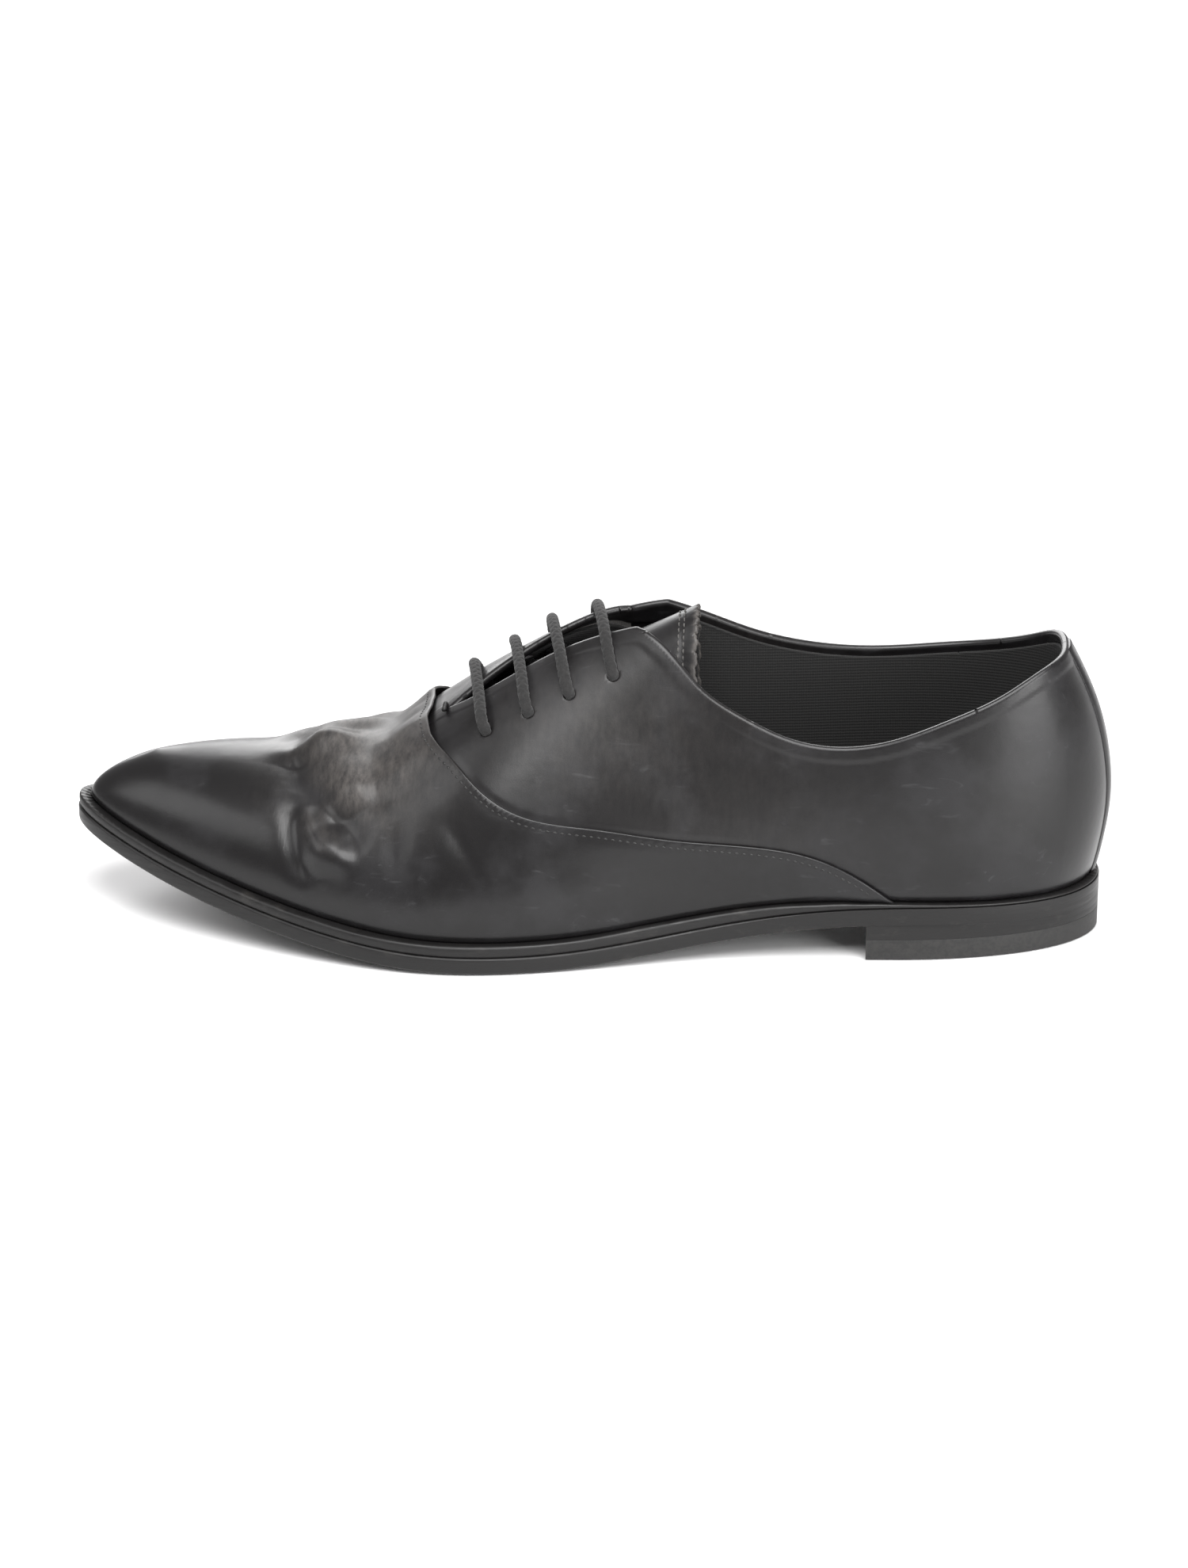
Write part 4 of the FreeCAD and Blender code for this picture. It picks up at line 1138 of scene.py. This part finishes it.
def welt():
    """The stitched strip round the sole, with ribs pressed into its shelf."""
    along = 0.5 * (1.0 - np.cos(np.linspace(0.0, np.pi, 150 * FINE)))
    places = [(share, -1) for share in along] + [(share, 1) for share in along[-2:0:-1]]
    runs = run_lengths(np.array([outline(share, side, 0.0) for share, side in places]))
    points = []
    for (place, side), run in zip(places, runs):
        ridge = 0.5 + 0.5 * math.cos(2.0 * math.pi * run / RIB_PITCH)
        for inset, share in WELT_SECTION:
            rib = RIB_HEIGHT * ridge if share == 1.0 and inset in RIBBED_INSETS else 0.0
            points.append(welt_point(place, side, inset, share, rib))
    faces = ring_faces(len(places), len(WELT_SECTION), closed=True)
    piece = make_piece("welt_strip", *oriented(np.array(points), faces), EDGE)
    carry_bending(piece, "welt")


welt()

heel_block = slab("heel_stack",
                  rounded_levels(flat_level(TOP_PIECE + 0.02), sole_level(-0.02), even_radius(0.04)), EDGE,
                  breast=True)
carry(heel_block, "sole_leather", "shoe", "heel_block")
heel_top = slab("heel_top_rubber",
                rounded_levels(flat_level(0.0), flat_level(TOP_PIECE - 0.02), even_radius(0.12)), RUBBER,
                breast=True)
carry(heel_top, "top_piece_rubber", "shoe", "heel_top_piece")

# Layers under the foot: name, material, slot, solid, what the heights start from, and (inset, height) levels.
LAYERS = (
    ("insole_board", INSOLE, "insole_leather", "insole", seat_level,
     ((3.9, 1.55), (3.6, 2.0), (3.6, 3.7), (3.9, 4.05))),
    ("sock_leather_piece", SOCK, "sock_leather", "sock_liner", seat_level,
     ((3.9, 4.15), (3.65, 4.4), (3.65, 4.8), (4.0, 5.05))),
    ("cork_filling", CORK, "cork", "cork_filler", sole_level,
     ((13.0, OUTSOLE + 0.15), (12.6, 5.5), (12.6, 6.0), (13.0, 6.2))),
)
for name, material, slot_name, node, level, levels in LAYERS:
    layer = slab(name, [(lambda x, inset=inset: CURVES["feather_inset"](x) + inset, level(height))
                        for inset, height in levels], material)
    carry_bending(layer, node)

PAD_FRONT, PAD_BACK, PAD_RADIUS, PAD_THICK = 100.0, 122.0, 19.0, 1.6
PAD_MIDDLE = (PAD_FRONT + PAD_BACK) / 2.0
PAD_RINGS = ((1.0, 0.0), (1.0, 0.9), (0.985, 1.25), (0.95, 1.45), (0.85, 1.55), (0.6, 1.6), (0.3, 1.62))


def heel_cushion():
    """Foam pad with a softly crowned top and rounded rim."""
    sides = 48 * FINE
    angles = 2.0 * np.pi * np.arange(sides) / sides
    base = float(seat_height(120.0)) + 4.1 - PAD_THICK
    centre = np.where(np.cos(angles) > 0.0, PAD_BACK, PAD_FRONT)
    points = []
    for share, height in PAD_RINGS:
        x = PAD_MIDDLE + (centre - PAD_MIDDLE + PAD_RADIUS * np.cos(angles)) * share
        points.append(np.stack([x, PAD_RADIUS * share * np.sin(angles), np.full(sides, base + height)], -1))
    points.append(np.array([(PAD_MIDDLE, 0.0, base + 1.63), (PAD_MIDDLE, 0.0, base)]))
    faces = ring_faces(len(PAD_RINGS), sides)
    top_middle = len(PAD_RINGS) * sides
    for k in range(sides):
        m = (k + 1) % sides
        faces.append((top_middle - sides + k, top_middle - sides + m, top_middle))
        faces.append((m, k, top_middle + 1))
    return make_piece("heel_cushion", *oriented(np.vstack(points), faces), FOAM)


pad = heel_cushion()
carry(pad, "foam", "shoe", "heel_pad")


# ---------------------------------------------------------------- tongue

# How deep the tongue lies inside the last at its root, and how much deeper it goes behind the throat's base.
TONGUE_DEPTH, TONGUE_DROP = 4.2, 7.0
TONGUE_DROP_START, TONGUE_DROP_LENGTH = -44.0, 11.0
TONGUE_EDGE = smooth_curve([(-47.0, 15.0), (-20.0, 19.0), (10.0, 23.0), (32.0, 23.5)])
TONGUE_FRONT, TONGUE_END, TONGUE_LOWEST = -47.0, 32.0, 45.0
TONGUE_CORNER = 6.0
TONGUE_LEATHER, TONGUE_CLOTH = 1.3, 0.8


def tongue_surface(params, deeper=0.0):
    """Points of the tongue's face, or deeper in it; its depth depends on x, so it is worked out in rounds."""
    depth = np.full(len(params), TONGUE_DEPTH + TONGUE_DROP)
    for _ in range(4):
        points = both_sides(params, depth + deeper)
        dropped = smooth_step((points[:, 0] - TONGUE_DROP_START) / TONGUE_DROP_LENGTH)
        depth = TONGUE_DEPTH + TONGUE_DROP * dropped
    return points


def tongue_gap(params):
    """Distance inside the tongue's edge, which is ragged at its free end."""
    points = tongue_surface(params)
    sides = TONGUE_EDGE(points[:, 0]) - np.abs(points[:, 1])
    ragged = 0.3 * np.sin(points[:, 1] * 2.9) + 0.2 * np.sin(points[:, 1] * 7.3 + 1.0)
    ends = np.minimum(points[:, 0] - TONGUE_FRONT, TONGUE_END - points[:, 0] + ragged)
    near = (sides < TONGUE_CORNER) & (ends < TONGUE_CORNER)
    rounded = TONGUE_CORNER - np.hypot(TONGUE_CORNER - sides, TONGUE_CORNER - ends)
    gap = np.where(near & (points[:, 0] > 0.0), rounded, np.minimum(sides, ends))
    return np.minimum(gap, points[:, 2] - TONGUE_LOWEST)


def tongue():
    """Leather tongue with a pressed line near its edge, and the cloth under it."""
    params, faces = wrapped_grid(np.linspace(0.30, 0.68, 110 * FINE), np.linspace(-0.75, 0.75, 90 * FINE + 1),
                                 tongue_gap)
    top = tongue_surface(params)
    normals = vertex_normals(top, faces)
    gap = tongue_gap(params)
    press = 0.18 * bell(gap, 3.6, 0.6) * (top[:, 0] > 0.0)
    wave = 0.15 * np.sin(top[:, 0] / 5.0) * smooth_step(top[:, 0] / 25.0)
    # The pale tone here is the raw edge round the free end, the leather's own colour.
    dust_and_highlight = 0.05 + 0.95 * bell(gap, 0.0, 0.7) * (top[:, 0] > 20.0)
    leather = thick_sheet("tongue_leather", faces, top + normals * (wave - press)[:, None],
                          tongue_surface(params, TONGUE_LEATHER), CALF,
                          {"dust_and_highlight": dust_and_highlight, "crinkle": 0.3 * smooth_step(top[:, 0] / 30.0)})
    carry(leather, "upper_leather", "tongue_flap", "tongue")
    cloth = thick_sheet("tongue_cloth", faces, tongue_surface(params, TONGUE_LEATHER + 0.03),
                        tongue_surface(params, TONGUE_LEATHER + TONGUE_CLOTH), LINING)
    carry(cloth, "lining", "tongue_flap", "tongue_lining")


tongue()


# ---------------------------------------------------------------- lace

LACE_RADIUS = 1.6
# How high the lace's points stand over the last, and where along a bar its two middle ones are.
LACE_INSIDE = -6.3
LACE_OUTSIDE = 3.3
BAR_HEIGHTS = (2.9, 3.0, 5.0, 4.2)
BAR_SHARES = (0.25, 0.72)
CORD_SIDES = 20
BRAID_PITCH = 5.2
AGLET_LENGTH, AGLET_RADIUS = 10.0, 1.5


def bar_points(index):
    """One straight bar of lacing, from inside the lateral eyelet to inside the medial one."""
    (x_near, y_near), (x_far, y_far) = EYELETS[-1][index], EYELETS[1][index]
    points = [raised(x_near, y_near, LACE_INSIDE), raised(x_near, y_near, LACE_OUTSIDE)]
    for share in BAR_SHARES:
        points.append(raised(x_near + share * (x_far - x_near), y_near + share * (y_far - y_near),
                             BAR_HEIGHTS[index]))
    return points + [raised(x_far, y_far, LACE_OUTSIDE), raised(x_far, y_far, LACE_INSIDE)]


def tail_points(index, steps):
    """Lace end put away behind the medial facing."""
    x, y = EYELETS[1][index]
    return [raised(x + dx, y + dy, height) for dx, dy, height in steps]


bars = [bar_points(index) for index in range(4)]
top_tail = tail_points(3, ((-3.0, 5.0, LACE_INSIDE), (-8.0, 8.0, -6.6)))
toe_tail = tail_points(0, ((1.5, 6.5, LACE_INSIDE), (4.0, 12.0, -7.7)))
lace_points = top_tail[::-1] + bars[3][::-1] + bars[2] + bars[1][::-1] + bars[0] + toe_tail


def spline_path(name, points, spacing):
    """Evenly spaced points along a curve whose control points are the given points."""
    curve = bpy.data.curves.new(name, "CURVE")
    curve.dimensions = "3D"
    curve.resolution_u = 24
    spline = curve.splines.new("NURBS")
    spline.points.add(len(points) - 1)
    for point, place in zip(spline.points, points):
        point.co = ((place[0] - REST_X) * MM, place[1] * MM, place[2] * MM, 1.0)
    spline.order_u = 3
    spline.use_endpoint_u = True
    line = bpy.data.objects.new(name, curve)
    bpy.context.scene.collection.objects.link(line)
    bpy.context.view_layer.update()
    mesh = bpy.data.meshes.new_from_object(line.evaluated_get(bpy.context.evaluated_depsgraph_get()))
    places = np.array([vertex.co[:] for vertex in mesh.vertices]) / MM + (REST_X, 0.0, 0.0)
    bpy.data.objects.remove(line)
    bpy.data.meshes.remove(mesh)
    runs = run_lengths(places)
    return picked(places, runs, np.linspace(0.0, runs[-1], int(runs[-1] / spacing)))


def braid(run, angles):
    """Crossing strands of a round braided cord."""
    twist = 4.0 * math.pi * run / BRAID_PITCH
    return 0.17 * np.maximum(np.cos(4.0 * angles + twist), np.cos(4.0 * angles - twist)) - 0.05


def aglet_ends(run, angles):
    """The film steps down a little at both ends of an aglet."""
    middle = AGLET_LENGTH / 2.0
    return np.full(len(angles), -0.12 * (abs(run - middle) > middle - 0.6))


lace_line = spline_path("lace_line", lace_points, 0.28)
carry(tube("lace_cord", lace_line, LACE_RADIUS, CORD_SIDES, COTTON, braid), "cotton_cord", "shoe", "lace")

for number, (tip, inner) in enumerate(((lace_points[0], lace_points[1]), (lace_points[-1], lace_points[-2]))):
    way = (tip - inner) / np.linalg.norm(tip - inner)
    path = tip + way * np.linspace(0.0, AGLET_LENGTH, 24)[:, None]
    aglet = tube(f"aglet_{number}", path, AGLET_RADIUS, CORD_SIDES, AGLET, aglet_ends)
    carry(aglet, "aglet_plastic", "shoe", "lace_aglets")


# ---------------------------------------------------------------- stitches

def joined(name, parts, material):
    """One object from many (points, faces) lists."""
    points = []
    faces = []
    for part_points, part_faces in parts:
        start = sum(len(group) for group in points)
        points.append(part_points)
        faces += [tuple(i + start for i in face) for face in part_faces]
    return make_piece(name, np.vstack(points), faces, material)


def stitch_shape(start, end, up, radius):
    """Points and faces of a short thread that dives in at both ends: a flattened grain over the leather."""
    sides, steps = 8, 7
    way = end - start
    length = np.linalg.norm(way)
    way = way / length
    across = np.cross(up, way)
    points = []
    for k in range(steps + 1):
        share = k / steps
        arch = math.sin(math.pi * share)
        size = radius * (0.35 + 0.65 * math.sqrt(arch))
        centre = start + way * length * share + up * (arch * radius * 0.9 - radius * 0.6)
        for m in range(sides):
            angle = 2.0 * math.pi * m / sides
            points.append(centre + size * (across * math.cos(angle) + up * 0.8 * math.sin(angle)))
    faces = [face[::-1] for face in ring_faces(steps + 1, sides)]
    faces.append(tuple(range(sides)))
    faces.append(tuple(steps * sides + m for m in reversed(range(sides))))
    return np.array(points), faces


def stitch_row(name, places, ups, size, material, body):
    """Stitches along a line of space points; size is their pitch, length and radius."""
    pitch, length, radius = size
    runs = run_lengths(places)
    parts = []
    for k in range(int(runs[-1] / pitch)):
        at = (k + 0.5) * pitch
        start, end = picked(places, runs, [at - length / 2.0, at + length / 2.0])
        up = picked(ups, runs, [at])[0]
        parts.append(stitch_shape(start, end, up / np.linalg.norm(up), radius))
    carry(joined(name, parts, material), "upper_leather", body)


def level_line(gap, overs, low, high, target):
    """Params where gap reaches the target, one for each value of over."""
    along = bisect(lambda value: -gap(np.stack([value, overs], -1)), low, high, np.full(len(overs), -target))
    return np.stack([along, overs], -1)


# Pitch, length and radius of the stitches.
SEAM_STITCH = (2.1, 1.5, 0.3)
TONGUE_STITCH = (2.0, 1.4, 0.26)
TONGUE_ROWS = (3.4, 4.9)

for side, name in SIDE_NAMES.items():
    row_params = level_line(seam_gap, np.linspace(0.0, 0.985, 500) * side, 0.24, 0.62, SEAM_EDGE + STITCH_GAP)
    row_base, row_normals = surface_frame(row_params)
    row_face = row_base + row_normals * vamp_offset(row_params, row_base)[:, None]
    stitch_row(f"{name}_seam_stitches", row_face, row_normals, SEAM_STITCH, THREAD, "shoe")

for number, inset in enumerate(TONGUE_ROWS):
    row_params = level_line(lambda params: -tongue_surface(params)[:, 0], np.linspace(-0.7, 0.7, 300),
                            0.30, 0.68, inset - TONGUE_END)
    row_points = tongue_surface(row_params)
    row_params = row_params[np.abs(row_points[:, 1]) < TONGUE_EDGE(row_points[:, 0]) - 4.0]
    _, row_normals = surface_frame(row_params)
    stitch_row(f"tongue_stitches_{number}", tongue_surface(row_params), row_normals, TONGUE_STITCH,
               PALE_THREAD, "tongue_flap")

TACK_HALF, TACK_RADIUS, TACK_TURN = 2.6, 0.62, 0.42


def tack_turns(run, angles):
    return np.full(len(angles), 0.10 * math.cos(2.0 * math.pi * run / TACK_TURN))


tack_point, tack_normal = plan_frame(*THROAT_BASE)
tack_path = tack_point + tack_normal * 0.9 + np.linspace((0.0, -TACK_HALF, 0.0), (0.0, TACK_HALF, 0.0), 60)
tack = tube("throat_tack_thread", tack_path, TACK_RADIUS, 14, THREAD, tack_turns)
carry(tack, "cotton_cord", "shoe", "throat_bar_tack")


# ---------------------------------------------------------------- solids that stay

KEPT = {
    "lateral_eyelets": STEEL, "medial_eyelets": STEEL, "heel_nails": STEEL, "top_piece_nails": STEEL,
    "shank": STEEL, "lateral_facing_stay": TAPE, "medial_facing_stay": TAPE, "lateral_topline_tape": TAPE,
    "medial_topline_tape": TAPE, "heel_counter": BOARD, "toe_puff": BOARD,
}
for name, material in KEPT.items():
    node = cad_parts[name]
    node.data.materials.clear()
    node.data.materials.append(material)


# ---------------------------------------------------------------- floor, light and camera

FLOOR_REACH = 3.0
FLOOR_DROP = 0.0003


def floor():
    mesh = bpy.data.meshes.new("floor")
    corners = [(x * FLOOR_REACH, y * FLOOR_REACH, 0.0) for x, y in ((-1, -1), (1, -1), (1, 1), (-1, 1))]
    mesh.from_pydata(corners, [], [(0, 1, 2, 3)])
    ground = bpy.data.objects.new("floor", mesh)
    bpy.context.scene.collection.objects.link(ground)
    material, _, _ = node_tree("pale_floor", Base_Color=colour(0.86, 0.86, 0.86), Roughness=0.7)
    ground.data.materials.append(material)
    ground.location.z = -FLOOR_DROP


def area_light(name, place, target, size, power):
    data = bpy.data.lights.new(name, "AREA")
    data.size = size
    data.energy = power
    light = bpy.data.objects.new(name, data)
    light.location = place
    light.rotation_euler = (Vector(target) - Vector(place)).to_track_quat("-Z", "Y").to_euler()
    bpy.context.scene.collection.objects.link(light)


TARGET = (-0.1097, 0.0, 0.0388)
floor()
area_light("key", (0.05, -0.75, 1.35), TARGET, 1.1, 32.0)
area_light("left", (-1.2, -0.5, 0.9), TARGET, 0.7, 4.0)
area_light("right", (0.85, -0.85, 0.38), (0.0, 0.0, 0.04), 0.7, 11.0)
area_light("back", (-0.35, 1.5, 0.85), TARGET, 1.3, 22.0)
world = bpy.data.worlds.new("soft_white")
world.use_nodes = True
world.node_tree.nodes["Background"].inputs[0].default_value = colour(1.0, 0.975, 0.985)
world.node_tree.nodes["Background"].inputs[1].default_value = 0.36
bpy.context.scene.world = world
bpy.context.scene.view_settings.view_transform = "Standard"

CAMERA_DISTANCE = 1.3
AZIMUTH, ELEVATION = math.radians(4.0), math.radians(20.8)
camera_data = bpy.data.cameras.new("camera")
camera_data.lens = 102.2
camera_data.sensor_width = 36.0
camera = bpy.data.objects.new("camera", camera_data)
away = Vector((math.sin(AZIMUTH) * math.cos(ELEVATION), -math.cos(AZIMUTH) * math.cos(ELEVATION),
               math.sin(ELEVATION)))
camera.location = Vector(TARGET) + away * CAMERA_DISTANCE
camera.rotation_euler = (-away).to_track_quat("-Z", "Y").to_euler()
bpy.context.scene.collection.objects.link(camera)
bpy.context.scene.camera = camera
